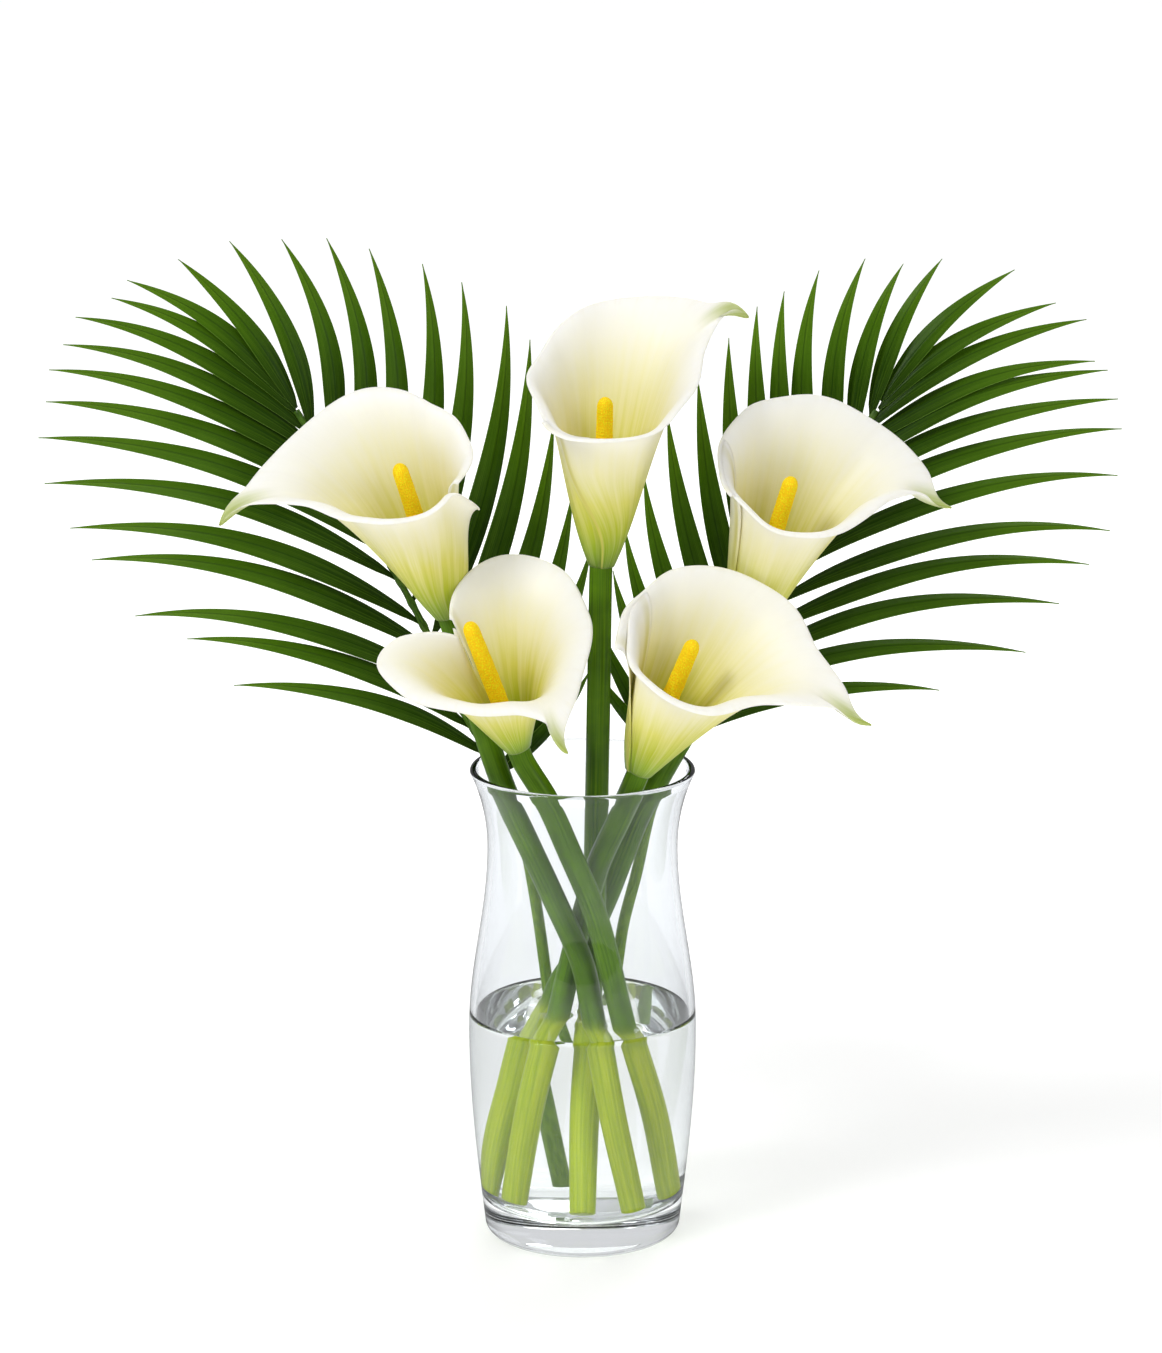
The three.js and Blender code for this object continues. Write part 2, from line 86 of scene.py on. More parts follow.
# ---------------------------------------------------------------- numbers
def mix(a: Number, b: Number, t: Number) -> Number:
    """The value a share t of the way from a to b.

    Args:
        a: The value at 0.
        b: The value at 1.
        t: The share, a number or an array.

    Returns:
        The value between them.
    """
    return a + (b - a) * t


def smooth(t: Number) -> Number:
    """An S-shaped ramp.

    Args:
        t: A number or an array, held to 0 and 1 outside them.

    Returns:
        0 to 1, level at both ends.
    """
    s = np.clip(t, 0.0, 1.0)
    return s * s * (3 - 2 * s)


def unit(v: np.ndarray) -> np.ndarray:
    """The vectors of an array, each made one long."""
    return v / np.maximum(np.linalg.norm(v, axis=-1, keepdims=True), 1e-9)


def paint(code: str) -> Colour:
    """A hex colour as Blender's linear red, green, blue and alpha.

    Args:
        code: A colour such as "#5f961f".

    Returns:
        The linear colour.
    """
    shares = [int(code[i : i + 2], 16) / 255 for i in (1, 3, 5)]
    linear = [s / 12.92 if s <= 0.04045 else ((s + 0.055) / 1.055) ** 2.4 for s in shares]
    return (*linear, 1.0)


class Route:
    """A smooth centripetal curve through points, measured along its length."""

    def __init__(self, points: Sequence[Sequence[float]], per_span: int = 40) -> None:
        """Traces the curve.

        Args:
            points: The points it passes through, in millimetres.
            per_span: How many steps are taken between two of them.
        """
        p = np.array(points, dtype=float)
        p = np.vstack([2 * p[0] - p[1], p, 2 * p[-1] - p[-2]])
        spots = [p[1]]
        for a, b, c, d in zip(p, p[1:], p[2:], p[3:]):
            before, span, after = (np.linalg.norm(v) ** 0.5 for v in (b - a, c - b, d - c))
            leave = ((b - a) / before - (c - a) / (before + span) + (c - b) / span) * span
            reach = ((c - b) / span - (d - b) / (span + after) + (d - c) / after) * span
            for t in np.arange(1, per_span + 1) / per_span:
                spots.append(
                    b + leave * t + (3 * (c - b) - 2 * leave - reach) * t**2
                    + (2 * (b - c) + leave + reach) * t**3
                )
        self.spots = np.array(spots)
        steps = np.linalg.norm(np.diff(self.spots, axis=0), axis=1)
        self.distances = np.concatenate([[0.0], np.cumsum(steps)])
        self.length = float(self.distances[-1])
        self.sides = self._sides()

    def _sides(self) -> np.ndarray:
        """One side direction per spot, carried along the curve without twist."""
        along = unit(np.gradient(self.spots, axis=0))
        side = np.cross(along[0], (0.0, 1.0, 0.0))
        sides = []
        for direction in along:
            side = side - direction * float(side @ direction)
            side = side / np.linalg.norm(side)
            sides.append(side)
        return np.array(sides)

    def _read(self, table: np.ndarray, distance: np.ndarray) -> np.ndarray:
        """The rows of a table per spot, read at distances along the curve."""
        return np.stack([np.interp(distance, self.distances, column) for column in table.T], axis=-1)

    def at(self, distance: np.ndarray) -> np.ndarray:
        """The places at distances along the curve."""
        return self._read(self.spots, np.asarray(distance, dtype=float))

    def along(self, distance: np.ndarray) -> np.ndarray:
        """The direction of the curve at distances along it."""
        distance = np.asarray(distance, dtype=float)
        return unit(self.at(distance + 0.5) - self.at(distance - 0.5))

    def side(self, distance: np.ndarray) -> np.ndarray:
        """The side direction at distances along the curve."""
        return unit(self._read(self.sides, np.asarray(distance, dtype=float)))


# ---------------------------------------------------------------- modelling
class Bench:
    """Meshes made with Blender's modelling tools, with their places in millimetres."""

    @staticmethod
    def clear() -> None:
        """Deselects everything, so that an operator acts only on the new piece."""
        bpy.ops.object.select_all(action="DESELECT")

    @staticmethod
    def name(label: str) -> bpy.types.Object:
        """The new active object, named."""
        piece = bpy.context.object
        piece.name = piece.data.name = label
        return piece

    @staticmethod
    def only(piece: bpy.types.Object) -> None:
        """Makes one piece the only selected one, and active."""
        Bench.clear()
        piece.select_set(True)
        bpy.context.view_layer.objects.active = piece

    @staticmethod
    def shift(piece: bpy.types.Object, move: Callable[[np.ndarray], np.ndarray]) -> None:
        """Moves a mesh's corners.

        Args:
            piece: The piece.
            move: Takes the corners' places in millimetres and returns their new ones.
        """
        corners = piece.data.vertices
        flat = np.empty(3 * len(corners))
        corners.foreach_get("co", flat)
        corners.foreach_set("co", (move(flat.reshape(-1, 3) / MM) * MM).ravel())
        piece.data.update()

    @staticmethod
    def sheet(label: str, columns: int, rows: int, place: Place) -> bpy.types.Object:
        """A grid with its corners placed by a surface, and its UV map from 0 to 1 both ways.

        Args:
            label: The piece's name.
            columns: Faces across.
            rows: Faces along.
            place: Takes the shares across and along, and returns places in millimetres.

        Returns:
            The new piece.
        """
        Bench.clear()
        bpy.ops.mesh.primitive_grid_add(x_subdivisions=columns, y_subdivisions=rows, size=2 * MM)
        piece = Bench.name(label)
        Bench.shift(piece, lambda flat: place((flat[:, 0] + 1) / 2, (flat[:, 1] + 1) / 2))
        return piece

    @staticmethod
    def close(piece: bpy.types.Object) -> None:
        """Merges the corners that meet and turns every face outwards."""
        Bench.only(piece)
        bpy.ops.object.mode_set(mode="EDIT")
        bpy.ops.mesh.select_all(action="SELECT")
        bpy.ops.mesh.remove_doubles(threshold=0.002 * MM)
        bpy.ops.mesh.normals_make_consistent(inside=False)
        bpy.ops.object.mode_set(mode="OBJECT")

    @staticmethod
    def rod(
        label: str, route: Route, stations: Sequence[Pair], sides: int,
        swell: Callable[[np.ndarray, np.ndarray], np.ndarray] | None = None,
    ) -> bpy.types.Object:
        """A closed round rod along a route, from one pole to the other.

        Args:
            label: The piece's name.
            route: The line it follows.
            stations: Distance along the route and radius, from a radius of 0 to a radius of 0.
            sides: Faces round it.
            swell: Takes distances and turns, and returns what to multiply the radius by.

        Returns:
            The new piece.
        """
        distances, radii = np.array(stations).T
        index = np.arange(len(stations))

        def place(u: np.ndarray, v: np.ndarray) -> np.ndarray:
            """The rod's skin.

            Args:
                u: Shares round it.
                v: Shares along it.

            Returns:
                The places.
            """
            row = v * (len(stations) - 1)
            distance = np.interp(row, index, distances)
            radius = np.interp(row, index, radii)
            turn = 2 * math.pi * u
            if swell is not None:
                radius = radius * swell(distance, turn)
            along, side = route.along(distance), route.side(distance)
            over = np.cross(along, side)
            ring = side * np.cos(turn)[:, None] + over * np.sin(turn)[:, None]
            return route.at(distance) + ring * radius[:, None]

        piece = Bench.sheet(label, sides, len(stations) - 1, place)
        Bench.close(piece)
        return piece

    @staticmethod
    def turned(label: str, outline: Sequence[Pair], steps: int) -> bpy.types.Object:
        """A solid of revolution: an outline from axis to axis, spun about the Z axis.

        Args:
            label: The piece's name.
            outline: Radius and height of each corner. The first and last lie on the axis.
            steps: Faces round it.

        Returns:
            The new piece.
        """
        Bench.clear()
        bpy.ops.mesh.primitive_circle_add(vertices=len(outline), radius=MM, fill_type="NOTHING")
        piece = Bench.name(label)
        corners = np.array([(radius, 0.0, height) for radius, height in outline])
        Bench.shift(piece, lambda flat: corners)
        bpy.ops.object.mode_set(mode="EDIT")
        bpy.ops.mesh.select_all(action="DESELECT")
        bpy.ops.object.mode_set(mode="OBJECT")
        ends = {0, len(outline) - 1}
        for edge in piece.data.edges:
            edge.select = set(edge.vertices) == ends
        bpy.ops.object.mode_set(mode="EDIT")
        bpy.ops.mesh.select_mode(type="EDGE")
        bpy.ops.mesh.delete(type="EDGE")
        bpy.ops.mesh.select_mode(type="VERT")
        bpy.ops.mesh.select_all(action="SELECT")
        bpy.ops.mesh.spin(
            steps=steps, angle=2 * math.pi, center=(0, 0, 0), axis=(0, 0, 1), use_auto_merge=True
        )
        bpy.ops.object.mode_set(mode="OBJECT")
        Bench.close(piece)
        return piece

    @staticmethod
    def modify(piece: bpy.types.Object, kind: str, **settings: object) -> None:
        """Adds one modifier to a piece and applies it.

        Args:
            piece: The piece.
            kind: The modifier's type.
            **settings: The modifier's settings.
        """
        Bench.only(piece)
        modifier = piece.modifiers.new(kind.title(), kind)
        for key, value in settings.items():
            setattr(modifier, key, value)
        bpy.ops.object.modifier_apply(modifier=modifier.name)

    @staticmethod
    def soften(piece: bpy.types.Object, crease: float = 180.0) -> None:
        """Shades a piece smooth, apart from the edges sharper than crease, in degrees."""
        Bench.only(piece)
        if crease >= 180:
            bpy.ops.object.shade_smooth()
        else:
            bpy.ops.object.shade_smooth_by_angle(angle=math.radians(crease))

    @staticmethod
    def settle(
        piece: bpy.types.Object, finishes: Iterable[bpy.types.Material], slot: Slot, *nodes: str
    ) -> None:
        """Gives a piece its finishes, and puts it in the place of its CAD nodes.

        Args:
            piece: The piece.
            finishes: Its materials, in the order of its material slots.
            slot: The slot for its finish; not used.
            *nodes: The CAD nodes it stands for.
        """
        piece.data.materials.clear()
        for finish in finishes:
            piece.data.materials.append(finish)
        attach(piece, BODY)
        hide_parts(*nodes)
        log.info("%s: %d faces, for %s", piece.name, len(piece.data.polygons), ", ".join(nodes))


# ---------------------------------------------------------------- finishes
class Value:
    """A number that varies over a surface, worked with as in plain arithmetic."""

    def __init__(self, mixer: "Mixer", socket: bpy.types.NodeSocket) -> None:
        """Wraps an output socket of the mixer's material."""
        self.mixer = mixer
        self.socket = socket

    def _math(self, operation: str, *terms: object) -> "Value":
        """One Math node on these terms."""
        return self.mixer.node("ShaderNodeMath", {"operation": operation}, dict(enumerate(terms)))

    def __add__(self, other: object) -> "Value":
        """self + other."""
        return self._math("ADD", self, other)

    def __sub__(self, other: object) -> "Value":
        """self - other."""
        return self._math("SUBTRACT", self, other)

    def __rsub__(self, other: object) -> "Value":
        """other - self."""
        return self._math("SUBTRACT", other, self)

    def __mul__(self, other: object) -> "Value":
        """self * other."""
        return self._math("MULTIPLY", self, other)

    def __abs__(self) -> "Value":
        """self without its sign."""
        return self._math("ABSOLUTE", self)

    __radd__ = __add__
    __rmul__ = __mul__


class Mixer:
    """The node tree of one finish."""

    def __init__(self, label: str) -> None:
        """Starts an empty material.

        Args:
            label: The finish's name.
        """
        self.material = bpy.data.materials.new(label)
        self.material.use_nodes = True
        self.tree = self.material.node_tree
        self.tree.nodes.clear()

    def node(
        self, kind: str, settings: dict[str, object] | None = None,
        inputs: dict[object, object] | None = None, output: object = 0,
    ) -> Value:
        """Adds one node.

        Args:
            kind: The node's type.
            settings: Its own settings, set first. "stops" are a ramp's (place, colour) pairs.
            inputs: Numbers, colours, values or sockets by input name or number.
            output: Which of its outputs is wanted.

        Returns:
            That output.
        """
        made = self.tree.nodes.new(kind)
        for key, value in (settings or {}).items():
            if key == "stops":
                self._stops(made.color_ramp, value)
            else:
                setattr(made, key, value)
        for key, value in (inputs or {}).items():
            if isinstance(value, Value):
                self.tree.links.new(value.socket, made.inputs[key])
            else:
                made.inputs[key].default_value = value
        return Value(self, made.outputs[output])

    @staticmethod
    def _stops(ramp: bpy.types.ColorRamp, stops: Sequence[tuple[float, Colour]]) -> None:
        """Sets a colour ramp's stops."""
        while len(ramp.elements) > len(stops):
            ramp.elements.remove(ramp.elements[-1])
        while len(ramp.elements) < len(stops):
            ramp.elements.new(1.0)
        for element, (place, colour) in zip(ramp.elements, stops):
            element.position, element.color = place, colour

    def place(self) -> Value:
        """The place on the object, in metres."""
        return self.node("ShaderNodeTexCoord", output="Object")

    def across_along(self) -> tuple[Value, Value]:
        """The shares across and along the piece, from its UV map."""
        uv = self.node("ShaderNodeTexCoord", output="UV")
        split = {"Vector": uv}
        return (
            self.node("ShaderNodeSeparateXYZ", None, split, "X"),
            self.node("ShaderNodeSeparateXYZ", None, split, "Y"),
        )

    def grain(self, across: Value, along: Value, fineness: Pair) -> Value:
        """A vector that a pattern is drawn on, stretched by fineness across and along."""
        return self.node(
            "ShaderNodeCombineXYZ", None, {"X": across * fineness[0], "Y": along * fineness[1]}
        )

    def noise(self, vector: Value, scale: float, detail: float = 2.0, rough: float = 0.5) -> Value:
        """Soft noise from 0 to 1.

        Args:
            vector: Where it is read.
            scale: How many blotches to a unit.
            detail: How many finer layers it has.
            rough: How strong the finer layers are.

        Returns:
            The noise.
        """
        inputs = {"Vector": vector, "Scale": scale, "Detail": detail, "Roughness": rough}
        return self.node("ShaderNodeTexNoise", None, inputs, "Fac")

    def step(self, value: Value, low: float, high: float, to: Pair = (0.0, 1.0)) -> Value:
        """A smooth step between two values of something.

        Args:
            value: What it follows.
            low: Where the step starts.
            high: Where it ends.
            to: The step's values there.

        Returns:
            The step.
        """
        inputs = {"Value": value, "From Min": low, "From Max": high, "To Min": to[0], "To Max": to[1]}
        return self.node("ShaderNodeMapRange", {"interpolation_type": "SMOOTHSTEP"}, inputs, "Result")

    def blend(self, share: Value, first: object, second: object, how: str = "MIX") -> Value:
        """Two colours mixed by a share, or by another blend mode.

        Args:
            share: How much of the second.
            first: A colour or a colour's value.
            second: A colour or a colour's value.
            how: The blend mode.

        Returns:
            The mixed colour.
        """
        settings = {"data_type": "RGBA", "blend_type": how}
        return self.node("ShaderNodeMix", settings, {"Factor": share, 6: first, 7: second}, 2)

    def ramp(self, value: Value, stops: Sequence[tuple[float, str]]) -> Value:
        """A colour ramp over a value, from (place, hex colour) pairs."""
        painted = [(place, paint(code)) for place, code in stops]
        return self.node("ShaderNodeValToRGB", {"stops": painted}, {"Fac": value}, "Color")

    def bump(self, height: Value, depth: float, strength: float = 1.0) -> Value:
        """A normal bent by a height.

        Args:
            height: From 0 to 1.
            depth: What a height of 1 stands for, in millimetres.
            strength: How much of the bump shows.

        Returns:
            The normal.
        """
        inputs = {"Height": height, "Distance": depth * MM, "Strength": strength}
        return self.node("ShaderNodeBump", None, inputs, "Normal")

    def shader(self, **inputs: object) -> Value:
        """A Principled shader, its inputs given with _ for a space."""
        named = {key.replace("_", " "): value for key, value in inputs.items()}
        return self.node("ShaderNodeBsdfPrincipled", None, named)

    def done(self, surface: Value) -> bpy.types.Material:
        """Joins a shader to the material's output and returns the material."""
        out = self.tree.nodes.new("ShaderNodeOutputMaterial")
        self.tree.links.new(surface.socket, out.inputs["Surface"])
        return self.material


@dataclass(frozen=True)
class ClearFinish:
    """A clear solid that bends light, and lets lamps through to what stands in it."""

    label: str
    tint: str
    shade: str  # what each surface takes from a lamp's light
    bend: float  # index of refraction
    ripple: float  # depth of the surface's slow waves, mm
    wave: float  # waves to a metre
    haze: Pair  # least and most roughness

    def make(self) -> bpy.types.Material:
        """Returns the material."""
        m = Mixer(self.label)
        place = m.place()
        waves = m.noise(place, self.wave, 1.0)
        smear = m.noise(place, self.wave * 3, 3.0)
        glass = m.node("ShaderNodeBsdfGlass", None, {
            "Color": paint(self.tint), "IOR": self.bend,
            "Roughness": m.step(smear, 0.45, 0.8, self.haze), "Normal": m.bump(waves, self.ripple),
        })
        through = m.node("ShaderNodeBsdfTransparent", None, {"Color": paint(self.shade)})
        shadow = m.node("ShaderNodeLightPath", output="Is Shadow Ray")
        return m.done(m.node("ShaderNodeMixShader", None, {0: shadow, 1: glass, 2: through}))


class Face(Enum):
    """The two faces of a spathe."""

    INSIDE = "inside"
    OUTSIDE = "outside"


@dataclass(frozen=True)
class SpatheFinish:
    """Waxy ivory with faint veins, green where it springs from the stem and at its tip."""

    face: Face
    ivory: str = "#fdfbf1"
    cream: str = "#efe8b4"
    lime: str = "#b7bf2c"
    green: str = "#6c9000"
    tip_green: str = "#93a516"
    veins: float = 70.0  # across the sheet

    def make(self) -> bpy.types.Material:
        """Returns the material."""
        m = Mixer(f"spathe_{self.face.value}")
        across, along = m.across_along()
        drift = m.noise(m.grain(across, along, (9, 2.2)), 1.0)
        streak = m.noise(m.grain(across + drift * 0.02, along, (self.veins, 1.1)), 1.0, 3.0, 0.6)
        cloud = m.noise(m.place(), 28.0, 3.0)
        reach = along + (streak - 0.5) * 0.16 + (cloud - 0.5) * 0.05
        if self.face is Face.OUTSIDE:
            stops = [
                (0.0, self.green), (0.1, "#93ad0c"), (0.22, self.lime), (0.36, "#d8d466"),
                (0.54, self.cream), (0.75, "#f9f5e0"), (0.9, self.ivory),
            ]
        else:
            stops = [
                (0.0, "#cfca50"), (0.16, "#e6dd84"), (0.34, "#f7eebb"), (0.52, "#fcf6d9"),
                (0.7, "#fdfaec"), (0.86, self.ivory),
            ]
        base = m.ramp(reach, stops)
        veined = m.blend(m.step(streak, 0.35, 0.75, (0.0, 0.22)), base, paint("#efe8c8"))
        beside = abs(across - 0.5)
        tip = m.step(beside, 0.008, 0.04, (1.0, 0.0)) * m.step(along, 0.8, 0.93)
        tipped = m.blend(tip * m.step(streak, 0.1, 0.9, (0.7, 1.0)), veined, paint(self.tip_green))
        if self.face is Face.OUTSIDE:
            # a darker yellow line beside each seam edge, strongest low down: painted shade along the
            # overlapping flap
            seam_shade = m.step(beside, 0.478, 0.49) * m.step(beside, 0.492, 0.497, (1.0, 0.0))
            tipped = m.blend(seam_shade * m.step(along, 0.5, 1.0, (0.75, 0.2)), tipped, paint("#cdc45c"))
        fold = m.noise(m.grain(across, along, (26, 1.4)), 1.0, 1.0)
        normal = m.bump(streak * 0.35 + fold * 0.65, 0.5, 0.55)
        return m.done(m.shader(
            Base_Color=tipped, Roughness=m.step(cloud, 0.3, 0.7, (0.38, 0.5)), Normal=normal,
            Subsurface_Weight=0.35, Subsurface_Radius=(1.0, 0.95, 0.7), Subsurface_Scale=0.003,
            Specular_IOR_Level=0.35, Sheen_Weight=0.08, Sheen_Roughness=0.5,
        ))


@dataclass(frozen=True)
class SpadixFinish:
    """Packed with pollen: saturated yellow, with painted shade, a darker yellow, in the hollows between the
    grains.
    """

    crown: str = "#fff01a"
    # painted shade for the hollows between the grains
    hollow_shade: str = "#ffd202"

    def make(self) -> bpy.types.Material:
        """Returns the material."""
        m = Mixer("spadix_pollen")
        place = m.place()
        cells = m.node(
            "ShaderNodeTexVoronoi", {"feature": "F1"}, {"Vector": place, "Scale": 1150.0}, "Distance"
        )
        dust = m.noise(place, 2600.0, 4.0)
        patch = m.noise(place, 140.0, 2.0)
        height = m.step(cells, 0.1, 0.7, (1.0, 0.0)) * 0.7 + dust * 0.3
        # the low places between the grains take the darker yellow: painted shade
        colour = m.blend(m.step(height, 0.25, 0.75), paint(self.hollow_shade), paint(self.crown))
        toned = m.blend(m.step(patch, 0.35, 0.7, (0.0, 0.35)), colour, paint("#ffd40c"))
        return m.done(m.shader(
            Base_Color=toned, Roughness=m.step(dust, 0.3, 0.7, (0.55, 0.8)),
            Normal=m.bump(height, 0.3, 0.7), Specular_IOR_Level=0.25,
        ))


@dataclass(frozen=True)
class StemFinish:
    """Fresh satin green with fine fibres, paler where it stands in water."""

    water_level: float
    deep: str = "#3a5c02"
    fresh: str = "#628d0a"
    pale: str = "#d4e02c"

    def make(self) -> bpy.types.Material:
        """Returns the material."""
        m = Mixer("lily_stem_skin")
        across, along = m.across_along()
        fibre = m.noise(m.grain(across, along, (36, 5)), 1.0, 3.0, 0.6)
        blotch = m.noise(m.place(), 45.0, 3.0)
        tone = m.blend(m.step(fibre * 0.6 + blotch * 0.4, 0.3, 0.72), paint(self.deep), paint(self.fresh))
        height = m.node("ShaderNodeSeparateXYZ", None, {"Vector": m.place()}, "Z")
        wet = m.step(height, (self.water_level - 12) * MM, (self.water_level + 6) * MM, (1.0, 0.0))
        pale = m.blend(m.step(fibre, 0.3, 0.7), paint("#aac41a"), paint(self.pale))
        colour = m.blend(wet * 0.8, tone, pale)
        ends = m.step(along, 0.006, 0.012, (1.0, 0.0))
        cut = m.blend(ends, colour, paint("#b9cf6e"))
        return m.done(m.shader(
            Base_Color=cut, Roughness=m.step(blotch, 0.3, 0.7, (0.3, 0.42)),
            Normal=m.bump(fibre, 0.2, 0.4), Specular_IOR_Level=0.2,
        ))


@dataclass(frozen=True)
class LeafletFinish:
    """Glossy palm green with parallel veins and a keel, painted highlights as paler streaks along the veins,
    darkest where it leaves the rib.
    """

    root_tone: str = "#142c01"
    body_tone: str = "#395d03"
    tip_tone: str = "#52780e"
    veins: float = 26.0

    def make(self) -> bpy.types.Material:
        """Returns the material."""
        m = Mixer("palm_leaflet_skin")
        across, along = m.across_along()
        cloud = m.noise(m.place(), 22.0, 3.0)
        vein = m.noise(m.grain(across, along, (self.veins, 1.6)), 1.0, 3.0, 0.6)
        reach = along + (cloud - 0.5) * 0.35 + (vein - 0.5) * 0.12
        base = m.ramp(reach, [
            (0.0, self.root_tone), (0.3, "#254202"), (0.6, self.body_tone), (1.0, self.tip_tone),
        ])
        # paler green streaks along the veins: painted highlights
        highlight_streaked = m.blend(m.step(vein, 0.42, 0.75, (0.0, 0.35)), base, paint("#678b20"))
        beside = abs(across - 0.5)
        keel = m.step(beside, 0.02, 0.05, (0.55, 0.0))
        keeled = m.blend(keel, highlight_streaked, paint("#1c3a02"))
        edge = m.step(beside, 0.47, 0.5, (0.0, 0.6))
        edged = m.blend(edge, keeled, paint("#74993c"))
        height = vein * 0.6 + m.step(beside, 0.0, 0.06) * 0.4
        return m.done(m.shader(
            Base_Color=edged, Roughness=m.step(cloud, 0.3, 0.7, (0.3, 0.42)),
            Normal=m.bump(height, 0.3, 0.6), Specular_IOR_Level=0.1,
        ))


@dataclass(frozen=True)
class RibFinish:
    """The frond's rib: olive green, fibrous, with paler patches, and a fresher green low down in the vase.
    """

    olive: str = "#4d7412"
    dark: str = "#2b4a06"
    stalk: str = "#5b8311"

    def make(self) -> bpy.types.Material:
        """Returns the material."""
        m = Mixer("palm_rib_skin")
        across, along = m.across_along()
        fibre = m.noise(m.grain(across, along, (14, 60)), 1.0, 3.0, 0.6)
        cloud = m.noise(m.place(), 60.0, 3.0)
        tone = m.blend(m.step(fibre, 0.3, 0.7), paint(self.dark), paint(self.olive))
        worn = m.blend(m.step(cloud, 0.5, 0.8, (0.0, 0.5)), tone, paint("#6f8a2c"))
        height = m.node("ShaderNodeSeparateXYZ", None, {"Vector": m.place()}, "Z")
        fleshy = m.blend(m.step(fibre, 0.3, 0.7), paint(self.stalk), paint("#7fa323"))
        worn = m.blend(m.step(height, 0.2, 0.27, (1.0, 0.0)), worn, fleshy)
        return m.done(m.shader(
            Base_Color=worn, Roughness=m.step(cloud, 0.3, 0.7, (0.34, 0.5)),
            Normal=m.bump(fibre, 0.2, 0.6), Specular_IOR_Level=0.3,
        ))


# ---------------------------------------------------------------- vase and water
@dataclass
class Vase:
    """The clear glass vase, with its thick foot and rounded lip."""

    height: float = 240.0
    wall: float = 3.0
    base: float = 17.0
    foot_radius: float = 44.0
    heel_radius: float = 49.0
    heel_height: float = 5.0
    belly_radius: float = 56.6
    belly_height: float = 105.0
    waist_radius: float = 47.0
    neck: float = 40.0
    lip_radius: float = 56.0
    floor_corner: float = 9.0
    lip_bead: float = 0.25  # how far the fire-polished lip swells past the wall
    push_up: float = 1.2  # hollow under the foot
    dome: float = 0.8  # rise of the inner floor at its middle
    steps: int = 144

    def outer(self, z: float) -> float:
        """The outer radius at a height: heel to belly, belly to waist, waist to lip.

        Args:
            z: The height.

        Returns:
            The radius.
        """
        if z < self.heel_height:
            t = 1 - z / self.heel_height
            return self.foot_radius + (self.heel_radius - self.foot_radius) * math.sqrt(1 - t * t)
        if z < self.belly_height:
            t = (z - self.heel_height) / (self.belly_height - self.heel_height)
            return mix(self.heel_radius, self.belly_radius, math.sin(t * math.pi / 2))
        waist = self.height - self.neck
        if z < waist:
            t = (z - self.belly_height) / (waist - self.belly_height)
            return mix(self.belly_radius, self.waist_radius, (1 - math.cos(t * math.pi)) / 2)
        t = (z - waist) / self.neck
        return mix(self.waist_radius, self.lip_radius, t * t)

    def inner(self, z: float) -> float:
        """The inner radius at a height above the floor's rounded corner."""
        return self.outer(z) - self.wall

    def inside(self, top: float, grow: float) -> list[Pair]:
        """The inner outline from the axis out and up to a height.

        Args:
            top: Where it ends.
            grow: How far it is moved out, into the glass.

        Returns:
            Its radii and heights.
        """
        floor, corner = self.base - grow, self.floor_corner
        flat = self.inner(floor + corner) - corner
        outline = []
        for i in range(10):
            r = flat * i / 10
            outline.append((r, floor + self.dome * (1 - (r / flat) ** 2)))
        for i in range(13):
            angle = math.pi / 2 * i / 12
            z = floor + corner * (1 - math.cos(angle))
            outline.append((self.inner(z) + grow - corner * (1 - math.sin(angle)), z))
        steps = 48
        start = floor + corner
        for i in range(1, steps + 1):
            z = mix(start, top, i / steps)
            outline.append((self.inner(z) + grow, z))
        return outline

    def build(self) -> bpy.types.Object:
        """Returns the vase, dressed and in place."""
        half = self.wall / 2 + self.lip_bead
        lip = self.height - half
        outline: list[Pair] = []
        for i in range(9):
            r = (self.foot_radius - 3) * i / 8
            outline.append((r, self.push_up * (1 - (i / 8) ** 2)))
        outline.append((self.foot_radius - 1.2, 0.0))
        for i in range(13):
            z = self.heel_height * (1 - math.cos(math.pi / 2 * i / 12))
            outline.append((self.outer(max(z, 0.02)), max(z, 0.15)))
        for i in range(1, 73):
            z = mix(self.heel_height, lip, i / 72)
            swell = self.lip_bead * float(smooth((z - lip + 6) / 6))
            outline.append((self.outer(z) + swell, z))
        middle = self.outer(lip) - self.wall / 2
        for i in range(1, 12):
            angle = math.pi * i / 12
            outline.append((middle + half * math.cos(angle), lip + half * math.sin(angle)))
        outline.extend(reversed(self.inside(lip, 0.0)))
        piece = Bench.turned("vase_glass", outline, self.steps)
        Bench.soften(piece)
        finish = ClearFinish("clear_glass", "#f9fafb", "#eef0ee", 1.5, 0.006, 40.0, (0.0, 0.003))
        Bench.settle(piece, [finish.make()], Slot.GLASS, "vase")
        return piece


